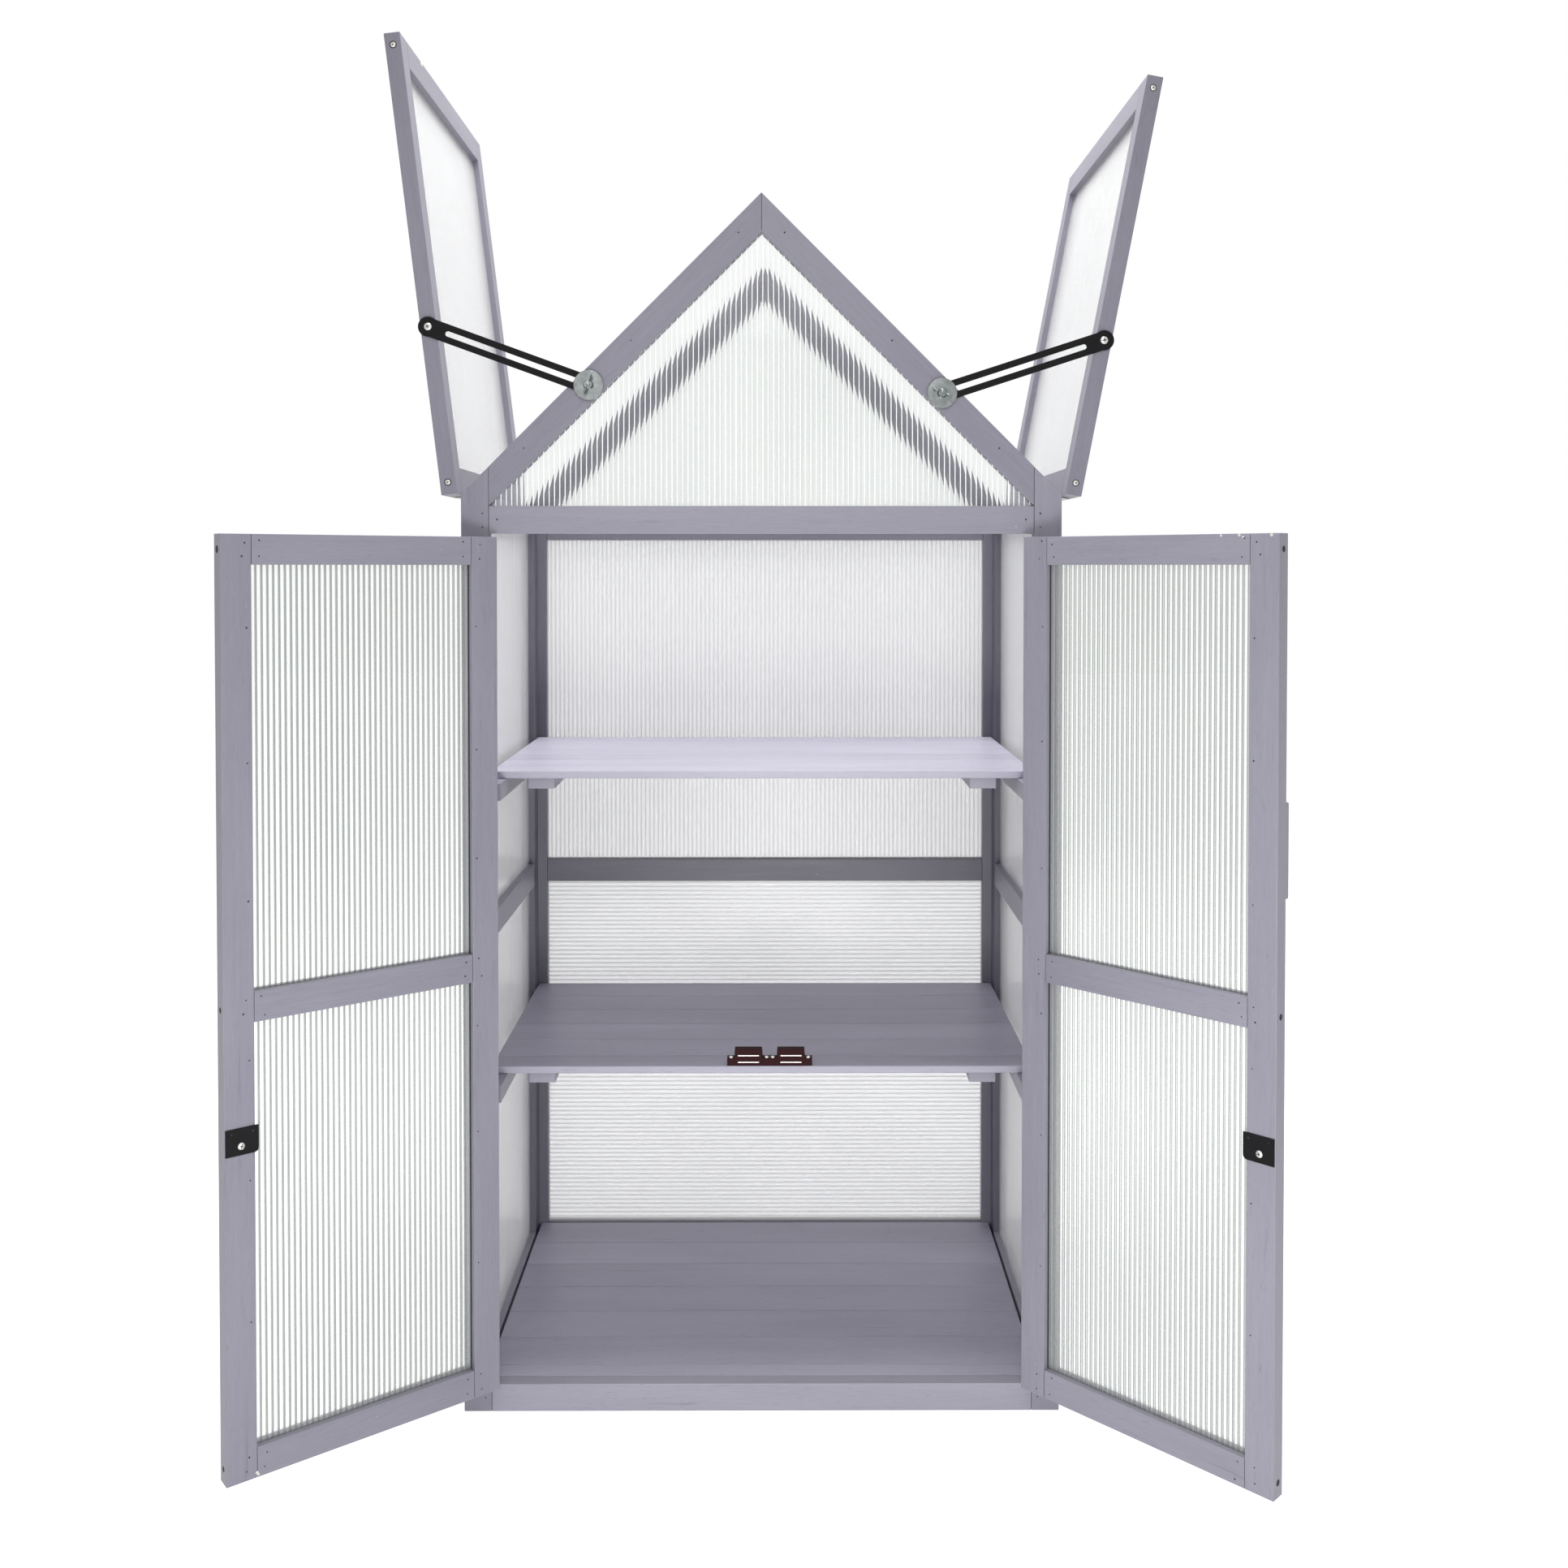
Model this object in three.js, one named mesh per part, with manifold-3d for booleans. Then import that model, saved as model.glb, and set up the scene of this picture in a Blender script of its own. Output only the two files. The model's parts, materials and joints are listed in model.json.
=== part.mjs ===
// A tall wooden mini greenhouse with a gabled roof.
// Two doors swing on butt hinges in the front frame, and two roof lids swing at the eaves.
// Each lid is held open by a slotted stay that slides under a wing bolt on the rafter.
// Units are millimetres. X runs to the right, Y to the back and Z up.
// The origin is the middle of the front sill's underside.

import * as THREE from 'three';
import { mergeVertices } from 'three/addons/utils/BufferGeometryUtils.js';
import Module from 'manifold-3d';

const wasm = await Module();
wasm.setup();

// Whole object
const frameWidth = 784;
const frameDepth = 522;
const ridgeHeight = 1600;
const roofPitch = THREE.MathUtils.degToRad(45);

// Timber sections and the panels that they hold
const timberWidth = 36;
const timberThick = 21;
const panelThick = 4;
const grooveDepth = 8;
const jointGap = 0.3;
const cutOverrun = 5;
const weldDepth = 1;

// The middle rails of the rear and side frames
const midRailLow = 599;

// Floor and shelves
const boardThick = 10;
const plankWidth = 75;
const plankGroove = 1.2;
const plankGrooveDepth = 1;
const floorSideGap = 4;
const shelfTops = { upper: 836, lower: 433 };
const shelfDepth = 420;
const shelfSideGap = 2;
const shelfFrontInset = 75;
const shelfBattenWidth = 36;
const shelfBattenThick = 15;
const shelfBattenFromSide = 70;
const shelfBattenInset = 8;
const cleatWidth = 24;
const cleatHeight = 23;
const cleatEndInset = 6;

// Magnetic catch on the lower shelf, and the strike plates on the doors
const catchOffset = 10;
const catchDepth = 14;
const catchHeight = 22;
const catchFlangeHeight = 10;
const catchUnitWidth = 58;
const catchBodyWidth = 37;
const catchBodyTaper = 1.5;
const catchSetback = 1.5;
const strikeWidth = 39;
const strikeHeight = 32;
const strikeThick = 1.2;
const strikeCorner = 6;
const strikeEdgeInset = 1;

// Doors
const doorBottomGap = 6;
const doorTopGap = 5;
const doorMiddleGap = 2;
const doorMidRailLow = 580.5;
const doorOpenAngles = { left: THREE.MathUtils.degToRad(142.3), right: THREE.MathUtils.degToRad(135.3) };
const handleLength = 112;
const handleWidth = 21;
const handleDepth = 21;
const handleEdgeInset = 6;
const handleCentreHeight = 785;
const handleChamfer = 3;

// Butt hinges of the doors and lids
const hingeGap = 2.6;
const hingeLength = 60;
const hingeLeafThick = 0.9;
const hingeLeafWidth = 17;
const knuckleRadius = 3;
const knuckleClearance = 0.4;
const pinRadius = 1.3;
const pinClearance = 0.3;
const knuckleShare = 0.3;
const roundSides = 16;
const doorHingeInset = 150;

// Roof lids
const lidDepth = 536;
const roofGap = 0.5;
const ridgeGap = 1;
const eaveOffset = 3.5;
const lidEndGap = 4.6;
const leftLidReach = 607;
const lidLeans = { left: THREE.MathUtils.degToRad(6.9), right: THREE.MathUtils.degToRad(10.9) };
const lidHingeInset = 95;

// Slotted stays
const stayReach = 224;
const stayBoltDepth = 18;
const stayThick = 2.5;
const stayWidth = 24;
const stayHeadRadius = 13;
const stayPlay = 0.4;
const slotWidth = 7;
const slotStart = 24;
const stayPinRadius = 2.5;
const stayPinHeadRadius = 5;
const stayPinHeadThick = 2;
const boltRadius = 3;
const boltBuried = 14;
const washerRadius = 19.5;
const washerThick = 1.5;
const wingHubRadius = 5.5;
const wingHubHeight = 7;
const wingSpan = 13;
const wingThick = 3;
const wingRise = 13;

// Places worked out from the sizes
const halfWidth = frameWidth / 2;
const postInner = halfWidth - timberWidth;
const sideInner = halfWidth - timberThick;
const frontFace = -timberThick / 2;
const frontInner = frontFace + timberThick;
const rearFace = frontFace + frameDepth;
const rearInner = rearFace - timberThick;
const headerTop = roofHeight(postInner) - timberWidth / Math.cos(roofPitch) - jointGap;
const headerLow = headerTop - timberWidth;
const sillTop = timberWidth;
const doorLow = sillTop + doorBottomGap;
const doorHigh = headerLow - doorTopGap;
const doorAxisGap = knuckleRadius + knuckleClearance;
const shelfBattenCentre = sideInner - shelfBattenFromSide;
const doorReach = postInner - hingeGap / 2 - doorMiddleGap / 2;
const eaveX = halfWidth + eaveOffset;
const eaveZ = ridgeHeight - eaveX * Math.tan(roofPitch);
const rightLidReach = eaveX / Math.cos(roofPitch) + roofGap - ridgeGap;
const lidReaches = { left: leftLidReach, right: rightLidReach };

const colours = {
  timber: { color: 0x918e9b, roughness: 0.7, metalness: 0 },
  panel: { color: 0xeef1ef, roughness: 0.25, metalness: 0 },
  blackSteel: { color: 0x1c1c1f, roughness: 0.45, metalness: 0.4 },
  zinc: { color: 0xb9bcc0, roughness: 0.35, metalness: 0.9 },
  brownPlastic: { color: 0x3a2226, roughness: 0.5, metalness: 0 },
};

function roofHeight(x) {
  return ridgeHeight - Math.abs(x) * Math.tan(roofPitch);
}

// Solids

function toSolid(geometry) {
  const bare = geometry.clone();
  bare.deleteAttribute('normal');
  bare.deleteAttribute('uv');
  const merged = mergeVertices(bare, jointGap / timberWidth / timberWidth);
  const vertProperties = new Float32Array(merged.attributes.position.array);
  const triVerts = new Uint32Array(merged.index.array);
  return new wasm.Manifold(new wasm.Mesh({ numProp: 3, vertProperties, triVerts }));
}

function toGeometry(solid) {
  const mesh = solid.getMesh();
  const geometry = new THREE.BufferGeometry();
  geometry.setAttribute('position', new THREE.BufferAttribute(new Float32Array(mesh.vertProperties), 3));
  geometry.setIndex(new THREE.BufferAttribute(new Uint32Array(mesh.triVerts), 1));
  geometry.computeVertexNormals();
  return geometry;
}

// A box from pairs of limits, in either order
function block(x, y, z) {
  const sizes = [x, y, z].map((pair) => Math.abs(pair[1] - pair[0]));
  const geometry = new THREE.BoxGeometry(...sizes);
  geometry.translate((x[0] + x[1]) / 2, (y[0] + y[1]) / 2, (z[0] + z[1]) / 2);
  return toSolid(geometry);
}

// An outline of [x, z] points, or a Shape, given thickness along Y
function slab(outline, y) {
  const isShape = outline instanceof THREE.Shape;
  const shape = isShape ? outline : new THREE.Shape(outline.map(([x, z]) => new THREE.Vector2(x, z)));
  const depth = Math.abs(y[1] - y[0]);
  const geometry = new THREE.ExtrudeGeometry(shape, { depth, bevelEnabled: false, curveSegments: roundSides / 2 });
  geometry.rotateX(Math.PI / 2);
  geometry.translate(0, Math.max(...y), 0);
  return toSolid(geometry);
}

// An outline of [y, z] points run along X
function beam(outline, x) {
  const shape = new THREE.Shape(outline.map(([y, z]) => new THREE.Vector2(y, z)));
  const depth = Math.abs(x[1] - x[0]);
  const geometry = new THREE.ExtrudeGeometry(shape, { depth, bevelEnabled: false });
  geometry.rotateX(Math.PI / 2);
  geometry.rotateZ(Math.PI / 2);
  geometry.translate(Math.min(...x), 0, 0);
  return toSolid(geometry);
}

// A round bar about the line through (x, y) along Z
function roundZ(radius, x, y, z) {
  const length = Math.abs(z[1] - z[0]);
  const geometry = new THREE.CylinderGeometry(radius, radius, length, roundSides);
  geometry.rotateX(Math.PI / 2);
  geometry.translate(x, y, (z[0] + z[1]) / 2);
  return toSolid(geometry);
}

// A round bar about the line through (x, z) along Y
function roundY(radius, x, z, y, sides = roundSides) {
  const length = Math.abs(y[1] - y[0]);
  const geometry = new THREE.CylinderGeometry(radius, radius, length, sides);
  geometry.translate(x, (y[0] + y[1]) / 2, z);
  return toSolid(geometry);
}

function addPiece(parent, name, solid, finish) {
  const mesh = new THREE.Mesh(toGeometry(solid), new THREE.MeshStandardMaterial(finish));
  mesh.name = name;
  parent.add(mesh);
  return mesh;
}

// A pair of limits moved inwards or outwards by the same amount at both ends
function grow(pair, amount) {
  return [Math.min(...pair) - amount, Math.max(...pair) + amount];
}

// The middle layer of a timber, where a panel of the given thickness lies
function panelLayer(face, thick) {
  const middle = face + timberThick / 2;
  return [middle - thick / 2, middle + thick / 2];
}

// Front and rear frames

function postOutline(side) {
  const inner = side * postInner;
  const outer = side * halfWidth;
  const points = [[inner, 0], [outer, 0], [outer, roofHeight(outer)], [inner, roofHeight(inner)]];
  return side > 0 ? points : points.reverse();
}

function rafterOutline(side) {
  const drop = timberWidth / Math.cos(roofPitch);
  const low = side * (postInner - jointGap);
  const high = side * jointGap / 2;
  const points = [
    [high, roofHeight(high) - drop],
    [low, roofHeight(low) - drop],
    [low, roofHeight(low)],
    [high, roofHeight(high)],
  ];
  return side > 0 ? points : points.reverse();
}

// The gable panel's outline, or its pocket when spare room is given
function gableOutline(spare) {
  const rise = (timberWidth - grooveDepth - spare) / Math.cos(roofPitch);
  const low = headerTop - grooveDepth - spare;
  const side = postInner - 2 * jointGap + spare;
  return [
    [-side, low],
    [side, low],
    [side, roofHeight(side) - rise],
    [0, ridgeHeight - rise],
    [-side, roofHeight(side) - rise],
  ];
}

function gableRow(parent, end, face, boltHoles) {
  const y = [face, face + timberThick];
  const pocket = slab(gableOutline(jointGap), panelLayer(face, panelThick + 2 * jointGap));
  for (const [word, side] of [['left', -1], ['right', 1]]) {
    addPiece(parent, `${end}_post_${word}`, postSolid(side, y, end === 'front'), colours.timber);
    let rafter = slab(rafterOutline(side), y).subtract(pocket);
    if (boltHoles) {
      const place = stayBoltPlace(word, side);
      const hole = roundY(boltRadius + jointGap, place.x, place.z, [face - cutOverrun, face + boltBuried + jointGap]);
      rafter = rafter.subtract(hole);
    }
    addPiece(parent, `${end}_rafter_${word}`, rafter, colours.timber);
  }
  const across = grow([-postInner, postInner], -jointGap);
  const header = block(across, y, [headerLow, headerTop]).subtract(pocket);
  const gable = slab(gableOutline(0), panelLayer(face, panelThick));
  addPiece(parent, `${end}_gable_panel`, gable, colours.panel);
  return { y, across, header };
}

function postSolid(side, y, carriesDoor) {
  let post = slab(postOutline(side), y);
  if (carriesDoor) {
    for (const height of doorHingeHeights()) {
      post = post.add(fixedDoorLeaf(side, height));
    }
  }
  return post;
}

function frontFrame(parent) {
  const { y, across, header } = gableRow(parent, 'front', frontFace, true);
  addPiece(parent, 'front_header', header, colours.timber);
  addPiece(parent, 'front_sill', block(across, y, [0, sillTop]), colours.timber);
}

function rearFrame(parent) {
  const { y, across, header } = gableRow(parent, 'rear', rearInner, false);
  const midRail = [midRailLow, midRailLow + timberWidth];
  const panelAcross = grow([-postInner, postInner], grooveDepth);
  const layer = panelLayer(rearInner, panelThick);
  const pocketLayer = panelLayer(rearInner, panelThick + 2 * jointGap);
  const windows = { upper: [midRail[1], headerLow], lower: [sillTop, midRail[0]] };
  const pockets = Object.values(windows).map((window) => {
    return block(grow(panelAcross, jointGap), pocketLayer, grow(window, grooveDepth + jointGap));
  });
  const cutAll = (solid) => pockets.reduce((rest, pocket) => rest.subtract(pocket), solid);
  addPiece(parent, 'rear_header', cutAll(header), colours.timber);
  addPiece(parent, 'rear_mid_rail', cutAll(block(across, y, midRail)), colours.timber);
  addPiece(parent, 'rear_sill', cutAll(block(across, y, [0, sillTop])), colours.timber);
  for (const [word, window] of Object.entries(windows)) {
    addPiece(parent, `rear_${word}_panel`, block(panelAcross, layer, grow(window, grooveDepth)), colours.panel);
  }
  for (const word of ['left', 'right']) {
    const post = parent.children.find((child) => child.name === `rear_post_${word}`);
    post.geometry = toGeometry(cutAll(toSolid(post.geometry)));
  }
}

// Side frames with their shelf and floor cleats

function sideFrame(parent, word, side) {
  const y = grow([frontInner, rearInner], -jointGap);
  const z = [0, roofHeight(halfWidth)];
  const x = [side * sideInner, side * halfWidth];
  const midRail = [midRailLow, midRailLow + timberWidth];
  const openingY = grow(y, -timberWidth);
  const windows = { upper: [midRail[1], z[1] - timberWidth], lower: [timberWidth, midRail[0]] };
  const middle = side * (halfWidth - timberThick / 2);
  let frame = block(x, y, z);
  for (const [row, window] of Object.entries(windows)) {
    const panelY = grow(openingY, grooveDepth);
    const panelZ = grow(window, grooveDepth);
    frame = frame.subtract(block(grow(x, cutOverrun), openingY, window));
    const pocketX = grow([middle, middle], panelThick / 2 + jointGap);
    frame = frame.subtract(block(pocketX, grow(panelY, jointGap), grow(panelZ, jointGap)));
    const panel = block(grow([middle, middle], panelThick / 2), panelY, panelZ);
    addPiece(parent, `${word}_side_${row}_panel`, panel, colours.panel);
  }
  for (const top of cleatTops()) {
    const cleatX = [side * (sideInner + weldDepth), side * (sideInner - cleatWidth)];
    frame = frame.add(block(cleatX, grow(y, -cleatEndInset), [top - cleatHeight, top]));
  }
  for (const centre of lidHingeCentres()) {
    frame = frame.add(fixedLidLeaf(side, centre));
  }
  addPiece(parent, `${word}_side_frame`, frame, colours.timber);
}

function cleatTops() {
  const undersides = [sillTop, shelfTops.upper, shelfTops.lower].map((top) => top - boardThick);
  return undersides.map((underside) => underside - jointGap);
}

// Boards of planks that run along X, with a groove at each joint

function plankOutline(y, top) {
  const underside = top - boardThick;
  const points = [[y[0], underside], [y[1], underside], [y[1], top]];
  const half = plankGroove / 2;
  for (let joint = y[1] - plankWidth; joint > y[0] + plankWidth / 4; joint -= plankWidth) {
    points.push([joint + half, top], [joint, top - plankGrooveDepth], [joint - half, top]);
  }
  points.push([y[0], top]);
  return points;
}

function floorDeck(parent) {
  const half = sideInner - floorSideGap;
  const y = grow([frontInner, rearInner], -jointGap);
  addPiece(parent, 'floor_deck', beam(plankOutline(y, sillTop), [-half, half]), colours.timber);
}

function shelf(parent, word) {
  const top = shelfTops[word];
  const half = sideInner - shelfSideGap;
  const front = frontFace + shelfFrontInset;
  const y = [front, front + shelfDepth];
  const underside = top - boardThick;
  let solid = beam(plankOutline(y, top), [-half, half]);
  for (const side of [-1, 1]) {
    const x = grow([side * shelfBattenCentre, side * shelfBattenCentre], shelfBattenWidth / 2);
    solid = solid.add(block(x, grow(y, -shelfBattenInset), [underside - shelfBattenThick, underside + weldDepth]));
  }
  addPiece(parent, `${word}_shelf`, solid, colours.timber);
}

// Twin magnetic catch, two bodies on joined flanges

function magneticCatch(parent) {
  const low = shelfTops.lower + jointGap;
  const front = frontFace + shelfFrontInset + catchSetback;
  const y = [front, front + catchDepth];
  const across = grow([catchOffset, catchOffset], catchUnitWidth);
  let solid = block(across, y, [low, low + catchFlangeHeight]);
  for (const side of [-1, 1]) {
    const centre = catchOffset + side * catchUnitWidth / 2;
    const foot = catchBodyWidth / 2 + catchBodyTaper;
    const crown = catchBodyWidth / 2;
    const outline = [
      [centre - foot, low + weldDepth],
      [centre + foot, low + weldDepth],
      [centre + crown, low + catchHeight],
      [centre - crown, low + catchHeight],
    ];
    solid = solid.add(slab(outline, y));
  }
  addPiece(parent, 'magnetic_catch', solid, colours.brownPlastic);
}

// Doors. Distance u runs from the hinge axis to the free edge, and v from the axis to the back

function doorHingeHeights() {
  return [doorLow + doorHingeInset, doorHigh - doorHingeInset];
}

function knuckleSpans(centre) {
  const end = hingeLength * knuckleShare;
  const low = centre - hingeLength / 2;
  const high = centre + hingeLength / 2;
  return {
    ends: [[low, low + end], [high - end, high]],
    middle: [low + end + jointGap, high - end - jointGap],
    whole: [low, high],
  };
}

// The leaf on the post, with the two end knuckles
function fixedDoorLeaf(side, height) {
  const spans = knuckleSpans(height);
  const axisX = side * (postInner - hingeGap / 2);
  const axisY = frontFace - doorAxisGap;
  const x = [side * (postInner + weldDepth), side * (postInner - hingeLeafThick)];
  let leaf = block(x, [frontFace + knuckleClearance, frontFace + hingeLeafWidth], spans.whole);
  for (const end of spans.ends) {
    const tab = block([side * postInner, x[1]], [axisY, frontFace + weldDepth], end);
    const bore = roundZ(pinRadius + pinClearance, axisX, axisY, grow(end, cutOverrun));
    leaf = leaf.add(tab).add(roundZ(knuckleRadius, axisX, axisY, end)).subtract(bore);
  }
  return leaf;
}

// The leaf on the door, with the middle knuckle and the pin
function movingDoorLeaf(side, height) {
  const spans = knuckleSpans(height);
  const edge = hingeGap / 2 - jointGap;
  const x = [-side * (edge - hingeLeafThick), -side * edge];
  const face = doorAxisGap;
  const plate = block(x, [face + knuckleClearance, face + hingeLeafWidth], spans.whole);
  const tab = block(x, [0, face + weldDepth], spans.middle);
  const knuckle = roundZ(knuckleRadius, 0, 0, spans.middle);
  return plate.add(tab).add(knuckle).add(roundZ(pinRadius, 0, 0, spans.whole));
}

function door(parent, word, side) {
  const group = new THREE.Group();
  group.position.set(side * (postInner - hingeGap / 2), frontFace - doorAxisGap, 0);
  group.rotation.z = side * doorOpenAngles[word];
  parent.add(group);
  const along = (low, high) => [-side * low, -side * high];
  const v = [doorAxisGap, doorAxisGap + timberThick];
  const near = hingeGap / 2;
  const far = doorReach;
  const z = [doorLow, doorHigh];
  const midRail = [doorMidRailLow, doorMidRailLow + timberWidth];
  const openingU = [near + timberWidth, far - timberWidth];
  const windows = { upper: [midRail[1], z[1] - timberWidth], lower: [z[0] + timberWidth, midRail[0]] };
  const layer = panelLayer(doorAxisGap, panelThick);
  const pocketLayer = panelLayer(doorAxisGap, panelThick + 2 * jointGap);
  const panelU = along(openingU[0] - grooveDepth, openingU[1] + grooveDepth);
  const pockets = Object.values(windows).map((window) => {
    return block(grow(panelU, jointGap), pocketLayer, grow(window, grooveDepth + jointGap));
  });
  const timber = (name, u, height) => {
    const solid = pockets.reduce((rest, pocket) => rest.subtract(pocket), block(along(...u), v, height));
    addPiece(group, `${word}_door_${name}`, solid, colours.timber);
  };
  const railU = [openingU[0] + jointGap, openingU[1] - jointGap];
  timber('hinge_stile', [near, openingU[0]], z);
  timber('free_stile', [openingU[1], far], z);
  timber('top_rail', railU, [z[1] - timberWidth, z[1]]);
  timber('mid_rail', railU, midRail);
  timber('bottom_rail', railU, [z[0], z[0] + timberWidth]);
  for (const [row, window] of Object.entries(windows)) {
    addPiece(group, `${word}_door_${row}_panel`, block(panelU, layer, grow(window, grooveDepth)), colours.panel);
  }
  strikePlate(group, word, side, far);
  doorHingeHeights().forEach((height, index) => {
    const place = ['lower', 'upper'][index];
    addPiece(group, `${word}_door_${place}_hinge`, movingDoorLeaf(side, height), colours.zinc);
  });
  return group;
}

// The plate that the magnet holds, with one rounded lower corner
function strikePlate(group, word, side, far) {
  const outer = -side * (far - strikeEdgeInset);
  const inner = -side * (far - strikeEdgeInset - strikeWidth);
  const low = shelfTops.lower + jointGap + catchHeight / 2 - strikeHeight / 2;
  const high = low + strikeHeight;
  const shape = new THREE.Shape();
  shape.moveTo(outer, low);
  shape.lineTo(outer, high);
  shape.lineTo(inner, high);
  shape.lineTo(inner, low + strikeCorner);
  shape.quadraticCurveTo(inner, low, inner - side * strikeCorner, low);
  shape.closePath();
  const face = doorAxisGap + timberThick + jointGap;
  addPiece(group, `${word}_door_strike_plate`, slab(shape, [face, face + strikeThick]), colours.blackSteel);
}

// A strip of timber with bevelled long edges, to pull the right door by
function doorHandle(group, side) {
  const outer = doorReach - handleEdgeInset;
  const inner = outer - handleWidth;
  const z = grow([handleCentreHeight, handleCentreHeight], handleLength / 2);
  const back = doorAxisGap - jointGap;
  const front = back - handleDepth;
  const points = [
    [inner, back],
    [outer, back],
    [outer, front + handleChamfer],
    [outer - handleChamfer, front],
    [inner + handleChamfer, front],
    [inner, front + handleChamfer],
  ];
  const shape = new THREE.Shape(points.map(([u, v]) => new THREE.Vector2(-side * u, v)));
  const geometry = new THREE.ExtrudeGeometry(shape, { depth: handleLength, bevelEnabled: false });
  geometry.translate(0, 0, z[0]);
  addPiece(group, 'right_door_handle', toSolid(geometry), colours.timber);
}

// Roof lids. Distance u runs up the lid from the hinge axis, and w from the axis outwards

function lidHingeCentres() {
  return [frontFace + lidHingeInset, rearFace - lidHingeInset];
}

// The leaf on the side frame, with the two end knuckles
function fixedLidLeaf(side, centre) {
  const spans = knuckleSpans(centre);
  const axisX = side * eaveX;
  const x = [side * (halfWidth - weldDepth), side * (halfWidth + hingeLeafThick)];
  const high = eaveZ - knuckleRadius - knuckleClearance;
  let leaf = block(x, spans.whole, [high - hingeLeafWidth, high]);
  for (const end of spans.ends) {
    const tab = block([side * (halfWidth - weldDepth), axisX], end, [eaveZ - knuckleRadius, eaveZ]);
    const web = block(x, end, [high - weldDepth, eaveZ]);
    const bore = roundY(pinRadius + pinClearance, axisX, eaveZ, grow(end, cutOverrun));
    const knuckle = roundY(knuckleRadius, axisX, eaveZ, end);
    leaf = leaf.add(web).add(tab).add(knuckle).subtract(bore);
  }
  return leaf;
}

// The leaf on the lid's lower end, with the middle knuckle and the pin
function movingLidLeaf(side, centre) {
  const spans = knuckleSpans(centre);
  const outside = (low, high) => [side * low, side * high];
  const high = lidEndGap - jointGap;
  const plate = block(outside(roofGap, roofGap + hingeLeafWidth), spans.whole, [high - hingeLeafThick, high]);
  const tab = block(outside(roofGap, knuckleRadius), spans.middle, [0, high]);
  const knuckle = roundY(knuckleRadius, 0, 0, spans.middle);
  return plate.add(tab).add(knuckle).add(roundY(pinRadius, 0, 0, spans.whole));
}

function stayPinPlace(reach) {
  const w = roofGap + timberThick / 2;
  return { w, u: Math.sqrt(reach * reach - w * w) };
}

function lid(parent, word, side) {
  const group = new THREE.Group();
  group.position.set(side * eaveX, 0, eaveZ);
  group.rotation.y = side * lidLeans[word];
  parent.add(group);
  const reach = lidReaches[word];
  const x = [side * roofGap, side * (roofGap + timberThick)];
  const y = [frontFace, frontFace + lidDepth];
  const u = [lidEndGap, reach];
  const window = { y: grow(y, -timberWidth), u: grow(u, -timberWidth) };
  const middle = side * (roofGap + timberThick / 2);
  const panelY = grow(window.y, grooveDepth);
  const panelU = grow(window.u, grooveDepth);
  const pocketX = grow([middle, middle], panelThick / 2 + jointGap);
  let frame = block(x, y, u).subtract(block(grow(x, cutOverrun), window.y, window.u));
  frame = frame.subtract(block(pocketX, grow(panelY, jointGap), grow(panelU, jointGap)));
  frame = frame.add(stayPin(side, stayReaches[word]));
  addPiece(group, `${word}_lid_frame`, frame, colours.timber);
  const panel = block(grow([middle, middle], panelThick / 2), panelY, panelU);
  addPiece(group, `${word}_lid_panel`, panel, colours.panel);
  lidHingeCentres().forEach((centre, index) => {
    const place = ['front', 'rear'][index];
    addPiece(group, `${word}_lid_${place}_hinge`, movingLidLeaf(side, centre), colours.zinc);
  });
}

// The headed screw that the stay turns on
function stayPin(side, reach) {
  const { w, u } = stayPinPlace(reach);
  const headBack = frontFace - stayPlay - stayThick - jointGap;
  const shank = roundY(stayPinRadius, side * w, u, [headBack - weldDepth, frontFace + weldDepth]);
  const head = roundY(stayPinHeadRadius, side * w, u, [headBack - stayPinHeadThick, headBack]);
  return shank.add(head);
}

// Slotted stays. The screw on the lid and the bolt on the rafter lie equally far from the hinge
// axis, so the stay turns half as far as the lid and the bolt keeps to the slot's middle.

const openAngles = {
  left: Math.PI / 2 - roofPitch + lidLeans.left,
  right: Math.PI / 2 - roofPitch + lidLeans.right,
};

function apexAngle(reach, openAngle) {
  const above = Math.asin((roofGap + timberThick / 2) / reach);
  const below = Math.asin(stayBoltDepth / reach);
  return openAngle + above + below;
}

function stayChord(reach, openAngle) {
  return 2 * reach * Math.sin(apexAngle(reach, openAngle) / 2);
}

// The right stay's reach that gives the same length of stay at the right lid's own angle
function matchingReach(chord, openAngle) {
  let reach = stayReach;
  for (let step = 0; step < 40; step += 1) {
    reach = chord / (2 * Math.sin(apexAngle(reach, openAngle) / 2));
  }
  return reach;
}

const openChord = stayChord(stayReach, openAngles.left);
const stayReaches = { left: stayReach, right: matchingReach(openChord, openAngles.right) };

function stayBoltPlace(word, side) {
  const reach = stayReaches[word];
  const angle = roofPitch - Math.asin(stayBoltDepth / reach);
  return { x: side * (eaveX - reach * Math.cos(angle)), z: eaveZ + reach * Math.sin(angle) };
}

function stayScrewPlace(word, side) {
  const { w, u } = stayPinPlace(stayReaches[word]);
  const lean = lidLeans[word];
  const out = w * Math.cos(lean) + u * Math.sin(lean);
  const up = u * Math.cos(lean) - w * Math.sin(lean);
  return { x: side * (eaveX + out), z: eaveZ + up };
}

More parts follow.
